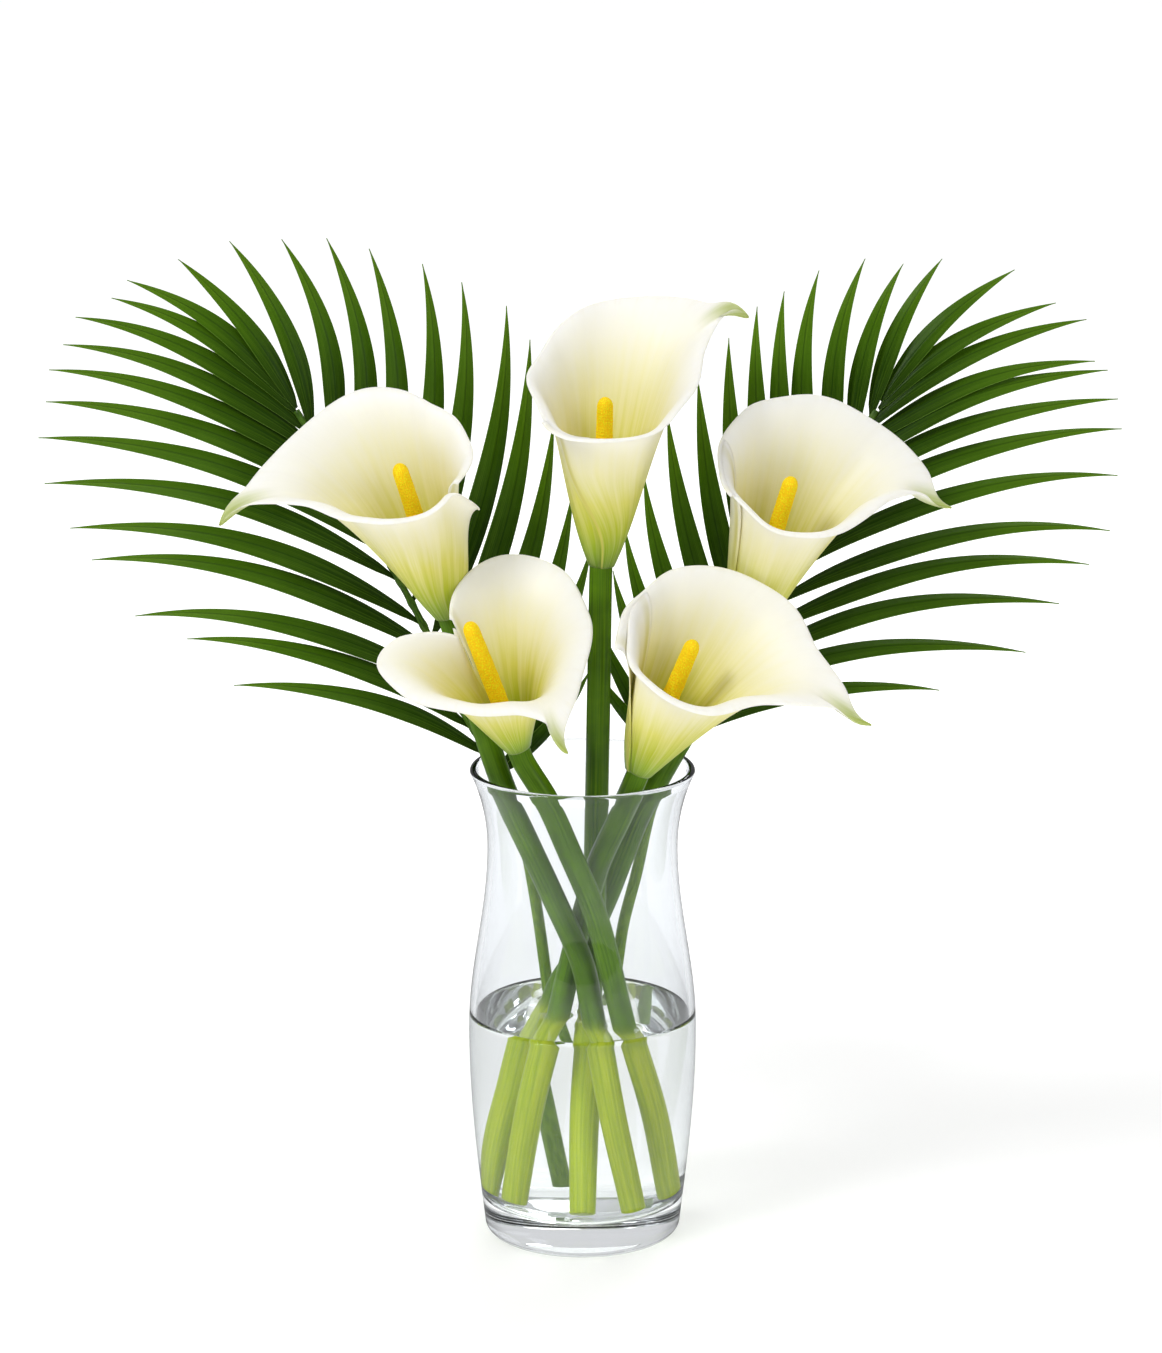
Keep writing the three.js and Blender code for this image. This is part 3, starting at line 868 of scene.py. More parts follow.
@dataclass
class Water:
    """The water in the vase, drawn up a little at the glass and at each stem."""

    level: float = 114.0
    overlap: float = 0.12  # into the glass, so that no air shows between them
    climb: float = 1.2  # height that it is drawn up
    reach: float = 1.4  # how far out the rise spreads

    def build(self, vase: Vase, stems: Sequence[tuple[Route, float]]) -> bpy.types.Object:
        """Makes the water.

        Args:
            vase: The vase that it stands in.
            stems: The route and radius of each stem that passes through its surface.

        Returns:
            The water, dressed and in place.
        """
        outline = vase.inside(self.level, self.overlap)
        rim = outline[-1][0]
        rings = 64
        outline += [(rim * (1 - (i / rings) ** 1.4), self.level) for i in range(1, rings + 1)]
        piece = Bench.turned("water_body", outline, vase.steps)
        crossings = [self._crossing(route) for route, _ in stems]
        radii = [radius for _, radius in stems]

        def draw_up(places: np.ndarray) -> np.ndarray:
            """Lifts the surface at the glass and round each stem."""
            top = places[:, 2] > self.level - 0.01
            out = np.hypot(places[:, 0], places[:, 1])
            lift = np.exp(-(rim - out) / self.reach)
            for (x, y), radius in zip(crossings, radii):
                gap = np.maximum(np.hypot(places[:, 0] - x, places[:, 1] - y) - radius, 0)
                lift = np.maximum(lift, 0.8 * np.exp(-gap / self.reach))
            places[:, 2] += np.where(top, self.climb * lift, 0.0)
            return places

        Bench.shift(piece, draw_up)
        Bench.soften(piece)
        finish = ClearFinish("still_water", "#fefefd", "#fbfcfa", 1.333, 0.01, 25.0, (0.0, 0.002))
        Bench.settle(piece, [finish.make()], Slot.WATER, "water")
        return piece

    def _crossing(self, route: Route) -> Pair:
        """Where a route passes through the surface."""
        nearest = int(np.argmin(np.abs(route.spots[:, 2] - self.level)))
        return float(route.spots[nearest, 0]), float(route.spots[nearest, 1])


# ---------------------------------------------------------------- lilies
@dataclass(frozen=True)
class Placing:
    """Turns the heights of the plan into places, and holds the lanes of the stems."""

    vase: Vase
    stem_radius: float = 5.8
    foot_share: float = 0.52  # of the stem's radius, room for slanted feet
    lane_gap: float = 0.9
    glass_gap: float = 4.2

    def spot(self, point: Point) -> Point:
        """A place from [x, y, height]: over the lip above 0, a share of the stems' depth below."""
        x, y, h = point
        depth = self.vase.height - self.vase.base - self.foot_share * self.stem_radius
        return x, y, self.vase.height + (h * depth if h < 0 else h)

    def lane(self, n: float) -> float:
        """The depth of one of the lanes that the stems cross the neck in, from the front."""
        radius = self.stem_radius
        front = self.vase.wall + self.glass_gap + radius - self.vase.waist_radius
        return front + n * (2 * radius + self.lane_gap)


@dataclass(frozen=True)
class Lily:
    """One lily: a stem, a rolled spathe and a spadix."""

    name: str
    root: Point
    bearing: float  # of the tube's lean, degrees, 0 is +X and 90 is +Y
    lean: float
    tip_bearing: float
    spadix: float
    belly: float
    over: Pair  # how far the counter-clockwise edge runs past the back, at the root and the lip
    under: Pair  # the same for the clockwise edge
    tip_pull: Point
    hook: Point  # bend of the drawn-out tip
    route: Sequence[Point]
    margin: Sequence[tuple[float, float, float, float]]  # turn, reach, height, flare
    wrap: Wrap = Wrap.COUNTER
    dip: float = 0.0  # how far the outer edge drops at the seam, a share of its height
    curl: float = 0.6  # how far its corner stands off the tube
    seed: float = 0.0

    columns: int = 300
    rows: int = 66
    crowd: float = 0.78  # how much closer the columns stand at the tip
    root_radius: float = 6.5
    root_share: float = 0.3
    lip_pull: float = 0.5
    overlap: float = 1.25
    tip_width: float = 7.5
    tail_width: float = 2.6
    sheet: float = 0.9
    roll_radius: float = 1.5
    roll_turn: float = 75.0
    roll_from: float = 0.93  # share of the rows where the rolled edge starts
    seat: float = 1.0

    # ---- the flower's frame
    def axes(self) -> np.ndarray:
        """Rows are the flower's x, towards its tip, its y, and its z, up the tube."""
        bearing, lean, tip = map(math.radians, (self.bearing, self.lean, self.tip_bearing))
        up = np.array([
            math.cos(bearing) * math.sin(lean), math.sin(bearing) * math.sin(lean), math.cos(lean)
        ])
        forward = np.array([math.cos(tip), math.sin(tip), 0.0])
        forward -= up * float(forward @ up)
        forward /= np.linalg.norm(forward)
        return np.array([forward, np.cross(up, forward), up])

    def _margin_at(self, turn: np.ndarray) -> np.ndarray:
        """The margin's course, smooth through its stations.

        Args:
            turn: Turns from the tip, in degrees.

        Returns:
            The reach, height and flare there, one row each.
        """
        stations = np.array(self.margin)
        laps = [stations + (360.0 * lap, 0, 0, 0) for lap in (-2, -1, 0, 1, 2)]
        table = np.vstack(laps)
        i = np.clip(np.searchsorted(table[:, 0], turn) - 1, 1, len(table) - 3)
        before, start, end, after = table[i - 1], table[i], table[i + 1], table[i + 2]
        span = (end[:, 0] - start[:, 0])[:, None]
        t = (turn - start[:, 0])[:, None] / span
        leave = (end - before) / (end[:, :1] - before[:, :1]) * span
        arrive = (after - start) / (after[:, :1] - start[:, :1]) * span
        curve = (
            (2 * t**3 - 3 * t**2 + 1) * start + (t**3 - 2 * t**2 + t) * leave
            + (3 * t**2 - 2 * t**3) * end + (t**3 - t**2) * arrive
        )
        return curve[:, 1:].T

    def _surface(self, across: np.ndarray, up: np.ndarray) -> np.ndarray:
        """The spathe's middle surface.

        Args:
            across: From -1 to 1, 0 at the tip.
            up: From 0 at the root to 1 at the margin.

        Returns:
            The places.
        """
        sweep = smooth((up - 0.1) / 0.5)
        half = np.where(across > 0, mix(*self.over, sweep), mix(*self.under, sweep))
        share = np.abs(across)
        turn = (180 + half) * np.sign(across) * mix(share, share**2, self.crowd)
        reach, height, flare = self._margin_at(turn)
        height = height + 0.7 * np.sin(np.radians(turn * 5) + self.seed)
        reach = reach + 0.6 * np.sin(np.radians(turn * 8) + 2.1 * self.seed)
        outer_edge = smooth((np.sign(across) * share * self.wrap.value - 0.8) / 0.2)
        height = height * (1 - self.dip * outer_edge)
        reach = reach * (1 - 0.62 * self.dip * outer_edge)
        flare = np.radians(flare)
        pull = self.lip_pull * (reach - self.root_radius)
        lip_radius, lip_height = reach - pull * np.sin(flare), height - pull * np.cos(flare)
        down = 1 - up
        radius = (
            down**3 * self.root_radius + 3 * up * down**2 * (self.root_radius + self.belly)
            + 3 * up**2 * down * lip_radius + up**3 * reach
            + self.overlap * self.wrap.value * turn / 360
            + self.curl * outer_edge**2 * smooth((up - 0.3) / 0.6)
        )
        rise = (
            self.seat * down**3 + 3 * up * down**2 * self.root_share * height
            + 3 * up**2 * down * lip_height + up**3 * height
        )
        hug = down**10
        radius = radius - 0.35 * hug
        rise = rise - 3.0 * hug
        angle = np.radians(turn)
        local = np.stack([radius * np.cos(angle), radius * np.sin(angle), rise], axis=-1)
        spots = local @ self.axes() + np.array(placing.spot(self.root))
        wide = np.exp(-((np.abs(turn) / self.tip_width) ** 1.3)) * smooth((up - 0.7) / 0.3)
        tail = np.exp(-((np.abs(turn) / self.tail_width) ** 1.6)) * smooth((up - 0.82) / 0.18)
        drawn = 0.38 * wide + 0.62 * tail
        spots = spots + drawn[:, None] * np.array(self.tip_pull)
        return spots + (4 * tail * (1 - tail))[:, None] * np.array(self.hook)

    def _place(self, u: np.ndarray, v: np.ndarray) -> np.ndarray:
        """The spathe with its edge rolled outwards.

        Args:
            u: Shares across its grid.
            v: Shares along it, from the root.

        Returns:
            The places.
        """
        across = 2 * u - 1
        edge = 0.965
        plain_up = np.where(
            v < self.roll_from, v / self.roll_from * edge,
            edge + (v - self.roll_from) / (1 - self.roll_from) * (1 - edge),
        )
        plain = self._surface(across, plain_up)
        at = np.full_like(v, edge)
        last = self._surface(across, at)
        along = unit(last - self._surface(across, at - 0.01))
        aside = self._surface(np.minimum(across + 0.004, 1), at)
        aside = unit(aside - self._surface(np.maximum(across - 0.004, -1), at))
        outward = unit(np.cross(aside, along))
        turn = np.radians(self.roll_turn) * np.clip((v - self.roll_from) / (1 - self.roll_from), 0, 1)
        rolled = last + self.roll_radius * (
            along * np.sin(turn)[:, None] + outward * (1 - np.cos(turn))[:, None]
        )
        near_tip = np.exp(-((np.abs(across) / 0.16) ** 2))[:, None]
        return np.where((v > self.roll_from)[:, None], mix(rolled, plain, near_tip), plain)

    def build_spathe(self, outside: bpy.types.Material, inside: bpy.types.Material) -> None:
        """Makes the spathe.

        Args:
            outside: The finish of its outer face.
            inside: The finish of its inner face.
        """
        piece = Bench.sheet(f"{self.name}_spathe_petal", self.columns, self.rows, self._place)
        group = piece.vertex_groups.new(name="thickness")
        uv = np.array([
            (round(i % (self.columns + 1)) / self.columns, (i // (self.columns + 1)) / self.rows)
            for i in range(len(piece.data.vertices))
        ])
        near_margin = smooth((uv[:, 1] - 0.5) / 0.5)
        near_seam = smooth((np.abs(uv[:, 0] - 0.5) - 0.47) / 0.03)
        near_tip = np.exp(-(((uv[:, 0] - 0.5) / 0.03) ** 2))
        weight = 1 - 0.45 * np.maximum(near_margin * (1 - near_tip), near_seam)
        for i, share in enumerate(weight):
            group.add([i], float(share), "REPLACE")
        Bench.modify(
            piece, "SOLIDIFY", thickness=self.sheet * MM, offset=0.0, vertex_group="thickness",
            material_offset=1, material_offset_rim=1, use_rim=True,
        )
        piece.vertex_groups.clear()
        Bench.soften(piece)
        Bench.settle(piece, [outside, inside], Slot.SPATHE, f"{self.name}_spathe")

    # ---- stem and spadix
    def stem_route(self) -> Route:
        """The stem's route, with its neck in line with the tube of the spathe."""
        root = np.array(placing.spot(self.root))
        points = [placing.spot(point) for point in self.route]
        return Route([*points, root - 10.0 * self.axes()[2], root])

    def build_stem(self, finish: bpy.types.Material) -> None:
        """Makes the stem: cut square at its foot, with its edge worn round.

        Args:
            finish: Its finish.
        """
        route, radius = self.stem_route(), placing.stem_radius
        stations = [(0.0, 0.0), (0.0, 0.5 * radius), (0.0, 0.9 * radius), (0.25, 0.97 * radius)]
        steps = 120
        for i in range(steps + 1):
            share = i / steps
            swell = 1 - 0.035 * float(smooth((share - 0.75) / 0.25))
            stations.append((mix(0.8, route.length - 1.2, share), radius * swell))
        end = route.length
        stations += [(end - 0.6, 0.9 * radius), (end, 0.6 * radius), (end, 0.0)]

        def ribbed(distance: np.ndarray, turn: np.ndarray) -> np.ndarray:
            """Faint flats and ribs along the stem."""
            phase = self.seed + distance / 90
            return 1 + 0.012 * np.sin(3 * turn + phase) + 0.006 * np.sin(14 * turn + self.seed)

        piece = Bench.rod(f"{self.name}_stem_stalk", route, stations, 40, ribbed)
        Bench.soften(piece, 50)
        Bench.settle(piece, [finish], Slot.STEM, f"{self.name}_stem")

    def build_spadix(self, finish: bpy.types.Material) -> None:
        """Makes the spadix, set all over with small grains.

        Args:
            finish: Its finish.
        """
        root, up = np.array(placing.spot(self.root)), self.axes()[2]
        route = Route([root + up * s for s in (1.0, self.spadix / 2, self.spadix)])
        length, root_radius, radius, shoulder = route.length, 3.2, 4.2, 5.0
        stations = [(0.0, 0.0), (0.0, root_radius)]
        rings = 190
        for i in range(1, rings + 1):
            d = (length - shoulder) * i / rings
            share = d / length
            body = mix(root_radius, radius, float(smooth(share / 0.4)))
            stations.append((d, body * (1 - 0.1 * max(share - 0.55, 0) / 0.45)))
        top = stations[-1][1]
        for i in range(1, 13):
            angle = math.pi / 2 * i / 12
            stations.append((length - shoulder * (1 - math.sin(angle)), top * math.cos(angle)))

        def grained(distance: np.ndarray, turn: np.ndarray) -> np.ndarray:
            """Grains in crossed spirals, uneven in size."""
            lap = distance * 2 * math.pi / 1.5
            rows = np.cos(12 * turn + lap / 2) * np.cos(12 * turn - lap / 2)
            uneven = 1 + 0.35 * np.sin(5 * turn + 0.7 * distance + self.seed)
            return 1 + 0.045 * rows * uneven

        piece = Bench.rod(f"{self.name}_spadix_club", route, stations, 120, grained)
        Bench.soften(piece)
        Bench.settle(piece, [finish], Slot.SPADIX, f"{self.name}_spadix")


# ---------------------------------------------------------------- palm fronds
@dataclass(frozen=True)
class Leaflet:
    """Where a leaflet grows on its rib, and how it runs."""

    share: float  # of the rib's length
    bearing: float  # in the X-Z plane, degrees
    length: float
    arch: float = 0.09  # rise of its arch, a share of its length


@dataclass(frozen=True)
class Frond:
    """A palm frond: one rib and the leaflets that grow from both sides of it."""

    side: str
    turn: Arch
    stem: Sequence[Point]
    rib: Sequence[Point]
    leaflets: Sequence[Leaflet]
    grown: Sequence[Leaflet]  # those at the two ends of the rib, which grow on it

    radius: float = 2.0
    stalk_radius: float = 3.0  # of the bare stalk that stands in the water
    slimness: float = 0.09  # a leaflet's width as a share of its length, evened out
    base_width: float = 3.0
    thickness: float = 0.5
    lean: float = 0.14
    tilt_lying: float = 50.0  # degrees, like a louvre
    tilt_upright: float = 20.0
    fold: float = 13.0  # degrees that each half of a leaflet is folded up by
    widest: float = 0.36
    taper: float = 1.6
    columns: int = 12
    rows: int = 54

    def _blade(self, leaflet: Leaflet, number: int) -> Place:
        """The surface of one leaflet.

        Args:
            leaflet: Where it grows and how it runs.
            number: Its number on the frond, which sets how it varies.

        Returns:
            The surface, for Bench.sheet.
        """
        share, length = leaflet.share, leaflet.length
        rib = Route([placing.spot(point) for point in self.rib])
        root = rib.at(share * rib.length)
        angle = math.radians(leaflet.bearing)
        along = np.array([math.cos(angle), self.lean, math.sin(angle)])
        arch_side = np.array([-math.sin(angle), 0.0, math.cos(angle)]) * self.turn.value
        vary = math.sin(12.9 * number + 3 * self.turn.value)
        upright = abs(math.sin(angle))
        tilt = math.radians(mix(self.tilt_lying, self.tilt_upright, upright) + 5 * vary)
        width = self.slimness * mix(leaflet.length, 155.0, 0.4) * mix(0.74, 1.0, upright)
        across = arch_side * math.cos(tilt) + np.array([0.0, math.sin(tilt), 0.0])
        normal = np.cross(along, across)
        normal /= np.linalg.norm(normal)
        if normal[1] > 0:
            normal = -normal
        leaving = along + 4 * leaflet.arch * arch_side
        slant = float(np.linalg.norm(np.cross(leaving, rib.along(share * rib.length))))
        start = self.radius * 0.5 / max(slant, 0.2) / length

        def place(u: np.ndarray, v: np.ndarray) -> np.ndarray:
            """The blade's surface.

            Args:
                u: Shares across it.
                v: Shares along it, from the rib.

            Returns:
                The places.
            """
            travel = mix(start, 1.0, v)
            middle = root + travel[:, None] * length * along
            middle = middle + (leaflet.arch * length * 4 * travel * (1 - travel))[:, None] * arch_side
            opening = np.sin(np.minimum(v / self.widest, 1) * math.pi / 2)
            beyond = np.maximum(v - self.widest, 0) / (1 - self.widest)
            shape = 1 - beyond**self.taper
            neck = mix(0.62, 1.0, smooth(v / 0.06))
            half = np.maximum(mix(self.base_width, width, opening) / 2 * shape * neck, 0.16)
            x = (2 * u - 1) * half
            lift = math.tan(math.radians(self.fold)) * (np.sqrt(x**2 + 0.25) - 0.5) * smooth(v / 0.1)
            sway = 0.9 * np.sin(2.2 * math.pi * v + number) * smooth(v / 0.3)
            spot = middle + x[:, None] * across
            return spot + (sway - lift)[:, None] * normal

        return place

    def build_leaflet(
        self, label: str, leaflet: Leaflet, number: int,
        finish: bpy.types.Material, node: str,
    ) -> None:
        """Makes one leaflet.

        Args:
            label: The piece's name.
            leaflet: Where it grows and how it runs.
            number: Its number on the frond.
            finish: Its finish.
            node: The CAD node it stands for.
        """
        piece = Bench.sheet(label, self.columns, self.rows, self._blade(leaflet, number))
        Bench.modify(piece, "SOLIDIFY", thickness=self.thickness * MM, offset=0.0)
        Bench.close(piece)
        Bench.soften(piece, 70)
        Bench.settle(piece, [finish], Slot.LEAFLET, node)

    def route(self) -> Route:
        """The line of the frond's stem and rib."""
        return Route([placing.spot(point) for point in (*self.stem, *self.rib)])

    def build(self, rib_finish: bpy.types.Material, leaflet_finish: bpy.types.Material) -> None:
        """Makes the frond.

        Args:
            rib_finish: The finish of its rib.
            leaflet_finish: The finish of its leaflets.
        """
        route = self.route()
        rib_length = Route([placing.spot(point) for point in self.rib]).length
        start = route.length - rib_length
        joints = [start + leaflet.share * rib_length for leaflet in (*self.leaflets, *self.grown)]
        stations = [(0.0, 0.0), (0.0, 0.85 * self.stalk_radius), (0.4, self.stalk_radius)]
        steps = 300
        for i in range(1, steps + 1):
            d = route.length * i / steps
            slim = float(smooth((d - start + 40) / 60))
            thick = mix(self.stalk_radius, self.radius, slim)
            thick *= 1 - 0.35 * float(smooth((d - start) / rib_length))
            knots = sum(math.exp(-(((d - joint) / 2.2) ** 2)) for joint in joints)
            stations.append((d, thick + 0.22 * self.radius * min(knots, 1.0)))
        stations += [(route.length + 0.5, 0.4), (route.length + 0.5, 0.0)]
        rib = Bench.rod(f"{self.side}_frond_rachis", route, stations, 16)
        Bench.soften(rib)
        node = f"{self.side}_frond_rib"
        Bench.settle(rib, [rib_finish], Slot.RIB, node)
        for i, leaflet in enumerate(self.leaflets):
            label = f"{self.side}_leaflet_{i + 1:02d}"
            self.build_leaflet(f"{label}_blade", leaflet, i, leaflet_finish, label)
        for i, leaflet in enumerate(self.grown):
            label = f"{self.side}_grown_{i + 1:02d}_blade"
            self.build_leaflet(label, leaflet, 40 + i, leaflet_finish, node)


# ---------------------------------------------------------------- studio
@dataclass(frozen=True)
class Lamp:
    """One soft area light, aimed at the bouquet."""

    name: str
    place: Point  # metres
    size: float
    power: float
    colour: str = "#ffffff"


@dataclass(frozen=True)
class Studio:
    """The plain pale floor, the soft light and the camera."""

    lens: float = 123.9
    sensor: float = 36.0
    camera_place: Point = (0.0, -2.21, 0.849)
    camera_tilt: float = 75.7
    camera_shift: float = -0.0011
    floor_radius: float = 9.0
    floor_glow_from: Pair = (0.1, 1.2)  # distances from the vase, metres
    floor_glow: Pair = (0.12, 0.42)
    dimmest: float = 0.22  # of the air, low and in front
    mirrored: float = 0.3  # share of the air and the floor that shows in reflections
    behind_glass: float = 0.8  # least light of the air seen through glass
    under_glass: float = 0.3  # more light of the floor seen through the foot
    aim: Point = (0.0, 0.0, 0.28)
    bounces: int = 24  # enough for light to pass all of the glass and water
    lamps: Sequence[Lamp] = (
        Lamp("key_softbox", (-1.7, -1.3, 2.3), 1.0, 36.5),
        Lamp("fill_softbox", (1.5, -2.2, 1.4), 1.8, 16.0),
        Lamp("rim_softbox", (0.6, 1.8, 1.6), 1.2, 14.0),
    )

    def _floor(self) -> None:
        """A pale floor, with a glow of its own away from the vase, where the lamps don't reach."""
        Bench.clear()
        bpy.ops.mesh.primitive_circle_add(
            vertices=96, radius=self.floor_radius, fill_type="NGON", location=(0, 0, 0)
        )
        floor = Bench.name("studio_floor")
        m = Mixer("studio_floor_paint")
        place = m.place()
        colour = m.blend(m.noise(place, 40.0, 2.0), paint("#f8f8f8"), paint("#fafafa"))
        away = m.node("ShaderNodeVectorMath", {"operation": "LENGTH"}, {0: place}, "Value")
        reflected = m.node("ShaderNodeLightPath", output="Is Glossy Ray")
        refracted = m.node("ShaderNodeLightPath", output="Is Transmission Ray")
        seen = 1 - reflected * (1 - refracted) * (1 - self.mirrored)
        colour = m.blend(seen, (0.0, 0.0, 0.0, 1.0), colour)
        under = m.step(away, 0.04, 0.3, (self.under_glass, 0.0)) * refracted
        glow = m.step(away, *self.floor_glow_from, self.floor_glow) * seen + under
        floor.data.materials.append(m.done(m.shader(
            Base_Color=colour, Roughness=0.9, Specular_IOR_Level=0.0,
            Emission_Color=glow, Emission_Strength=1.0,
        )))

    def _world(self) -> None:
        """Soft light all round: bright above and behind, dimmer beside and in front."""
        world = bpy.data.worlds.new("studio_air")
        bpy.context.scene.world = world
        world.use_nodes = True
        tree = world.node_tree
        tree.nodes.clear()
        new, link = tree.nodes.new, tree.links.new
        coords, split = new("ShaderNodeTexCoord"), new("ShaderNodeSeparateXYZ")
        link(coords.outputs["Generated"], split.inputs[0])
        back, top, most = new("ShaderNodeMapRange"), new("ShaderNodeMapRange"), new("ShaderNodeMath")
        for ramp, axis, low, high in ((back, "Y", 0.1, 0.75), (top, "Z", 0.35, 0.95)):
            ramp.interpolation_type = "SMOOTHSTEP"
            link(split.outputs[axis], ramp.inputs["Value"])
            ramp.inputs["From Min"].default_value = low
            ramp.inputs["From Max"].default_value = high
            ramp.inputs["To Min"].default_value = self.dimmest
            ramp.inputs["To Max"].default_value = 1.0
        most.operation = "MAXIMUM"
        link(back.outputs["Result"], most.inputs[0])
        link(top.outputs["Result"], most.inputs[1])
        path = new("ShaderNodeLightPath")

        def join(operation: str, *terms: object) -> bpy.types.NodeSocket:
            """One Math node on sockets and numbers."""
            made = new("ShaderNodeMath")
            made.operation = operation
            for socket, term in zip(made.inputs, terms):
                if isinstance(term, bpy.types.NodeSocket):
                    link(term, socket)
                else:
                    socket.default_value = term
            return made.outputs[0]

        refracted = path.outputs["Is Transmission Ray"]
        reflected = join("SUBTRACT", path.outputs["Is Glossy Ray"], refracted)
        dulled = join("MULTIPLY_ADD", join("MAXIMUM", reflected, 0.0), self.mirrored - 1, 1.0)
        air_light = join("MULTIPLY", most.outputs[0], dulled)
        least = join("MAXIMUM", air_light, join("MULTIPLY", refracted, self.behind_glass))
        strength = join("MAXIMUM", least, path.outputs["Is Camera Ray"])
        air, out = new("ShaderNodeBackground"), new("ShaderNodeOutputWorld")
        link(strength, air.inputs["Strength"])
        link(air.outputs[0], out.inputs["Surface"])

    def _lights(self) -> None:
        """The softboxes, each aimed at the bouquet."""
        for lamp in self.lamps:
            data = bpy.data.lights.new(lamp.name, "AREA")
            data.shape, data.size, data.energy = "DISK", lamp.size, lamp.power
            data.color = paint(lamp.colour)[:3]
            light = bpy.data.objects.new(lamp.name, data)
            bpy.context.scene.collection.objects.link(light)
            light.location = lamp.place
            way = np.array(self.aim) - np.array(lamp.place)
            flat = math.hypot(way[0], way[1])
            light.rotation_euler = (math.atan2(flat, -way[2]), 0.0, math.atan2(way[1], way[0]) - math.pi / 2)

    def _camera(self) -> None:
        """The camera, a little above the flowers and looking down at the vase."""
        data = bpy.data.cameras.new("studio_camera")
        data.lens, data.sensor_width, data.sensor_fit = self.lens, self.sensor, "AUTO"
        data.shift_x = self.camera_shift
        camera = bpy.data.objects.new("studio_camera", data)
        bpy.context.scene.collection.objects.link(camera)
        camera.location = self.camera_place
        camera.rotation_euler = (math.radians(self.camera_tilt), 0.0, 0.0)
        bpy.context.scene.camera = camera

    def build(self) -> None:
        """Sets the studio up."""
        self._floor()
        self._world()
        self._lights()
        self._camera()
        scene = bpy.context.scene
        scene.view_settings.view_transform = "Standard"
        scene.cycles.max_bounces = scene.cycles.transmission_bounces = self.bounces
        scene.cycles.transparent_max_bounces = self.bounces


# ---------------------------------------------------------------- this arrangement
placing = Placing(Vase())
lane = placing.lane

LILIES = (
    Lily(
        "centre", root=(9, -5, 105), bearing=-70, lean=4, tip_bearing=37, spadix=82, belly=13.5,
        over=(78, 40), under=(-51, -1), wrap=Wrap.CLOCKWISE,
        tip_pull=(19, -4, -3), hook=(0, 0, 4), seed=0.4,
        route=(
            (0, -32, -1), (1, lane(2), -0.773), (4, lane(3) - 2, -0.55), (6, lane(3), -0.314),
            (7, -2, -0.077), (8, -5, 45),
        ),
        margin=(
            (-150, 38, 70, 112), (-95, 38, 73, 95), (-55, 41, 84, 80), (-22, 49, 100, 70),
            (0, 62, 117, 72), (20, 60, 121, 62), (60, 48, 118, 58), (100, 38, 104, 62),
            (135, 38, 92, 72), (172, 36, 78, 100),
        ),
    ),
    Lily(
        "upper_left", root=(-66, -7, 80.5), bearing=-150, lean=19, tip_bearing=176, spadix=80,
        belly=13, over=(-5, 18), under=(30, 30), dip=0.44, curl=2.0,
        tip_pull=(-16, -6, -16), hook=(-1, 0, 2), seed=1.3,
        route=(
            (23, -28, -1), (13, -26, -0.773), (5, lane(1), -0.55), (0, lane(1), -0.432),
            (-14, lane(1), -0.277), (-27, -19, -0.145), (-38, -15, -0.036), (-51, -11, 31),
        ),
        margin=(
            (-177, 37, 78, 90), (-122, 36, 95, 70), (-77, 48, 105, 65), (-45, 56, 102, 72),
            (-20, 66, 94, 85), (0, 72, 84, 95), (20, 48, 76, 100), (45, 37, 69, 112),
            (75, 33, 64, 120), (117, 31, 63, 118), (158, 34, 70, 100),
        ),
    ),
    Lily(
        "upper_right", root=(79, 6, 66), bearing=-23, lean=17, tip_bearing=9, spadix=84, belly=12.5,
        over=(25, 28), under=(25, 25), tip_pull=(12, -4, -14), hook=(-2, 0, -2), seed=2.2,
        route=(
            (-38, 0, -1), (-26, 6, -0.773), (-13, lane(4), -0.545), (0, lane(4), -0.45),
            (12, lane(4), -0.327), (21, lane(4) - 3, -0.214), (30, 8, -0.105), (56, 3, 26),
        ),
        margin=(
            (-165, 35, 76, 95), (-125, 32, 68, 115), (-87, 35, 66, 120), (-53, 39, 73, 112),
            (-18, 47, 86, 98), (0, 66, 97, 90), (20, 61, 107, 72), (47, 51, 113, 62),
            (83, 44, 113, 60), (121, 40, 104, 62), (164, 37, 87, 72),
        ),
    ),
    Lily(
        "lower_left", root=(-32, -35, 21), bearing=-141, lean=24, tip_bearing=-58, spadix=71,
        belly=10, over=(4, -3), under=(14, -4), tip_pull=(4, -22, -14), hook=(-2, 0, -1), seed=3.1,
        route=(
            (34, 0, -1), (29, -14, -0.773), (19, -30, -0.541), (6, lane(0), -0.295),
            (-6, lane(0), -0.155), (-17, lane(0), -0.036),
        ),
        margin=(
            (-165, 12, 60, 30), (-149, 24, 66, 60), (-137, 39, 70, 85), (-117, 49, 67, 105),
            (-88, 46, 56, 125), (-51, 40, 46, 135), (-18, 50, 41, 130), (0, 60, 37, 130),
            (28, 54, 40, 120), (65, 56, 52, 100), (95, 59, 66, 85), (125, 52, 76, 70),
            (157, 30, 74, 50),
        ),
    ),
    Lily(
        "lower_right", root=(28, -42, 11), bearing=-25, lean=23, tip_bearing=-12, spadix=72,
        belly=12.5, over=(58, 32), under=(20, 25), curl=5.0,
        tip_pull=(14, -10, -12), hook=(-2, 0, -2), seed=4.0,
        route=(
            (-28, -11, -1), (-21, -11, -0.773), (-13, lane(2), -0.591), (-4, lane(2), -0.409),
            (2, lane(2), -0.305), (8, -16, -0.2), (18, -29, -0.077),
        ),
        margin=(
            (-142, 31, 58, 110), (-100, 32, 52, 125), (-59, 39, 54, 122), (-27, 47, 63, 112),
            (0, 74, 77, 100), (21, 58, 88, 85), (51, 49, 96, 70), (85, 41, 98, 62),
            (126, 38, 90, 66), (163, 35, 77, 78),
        ),
    ),
)

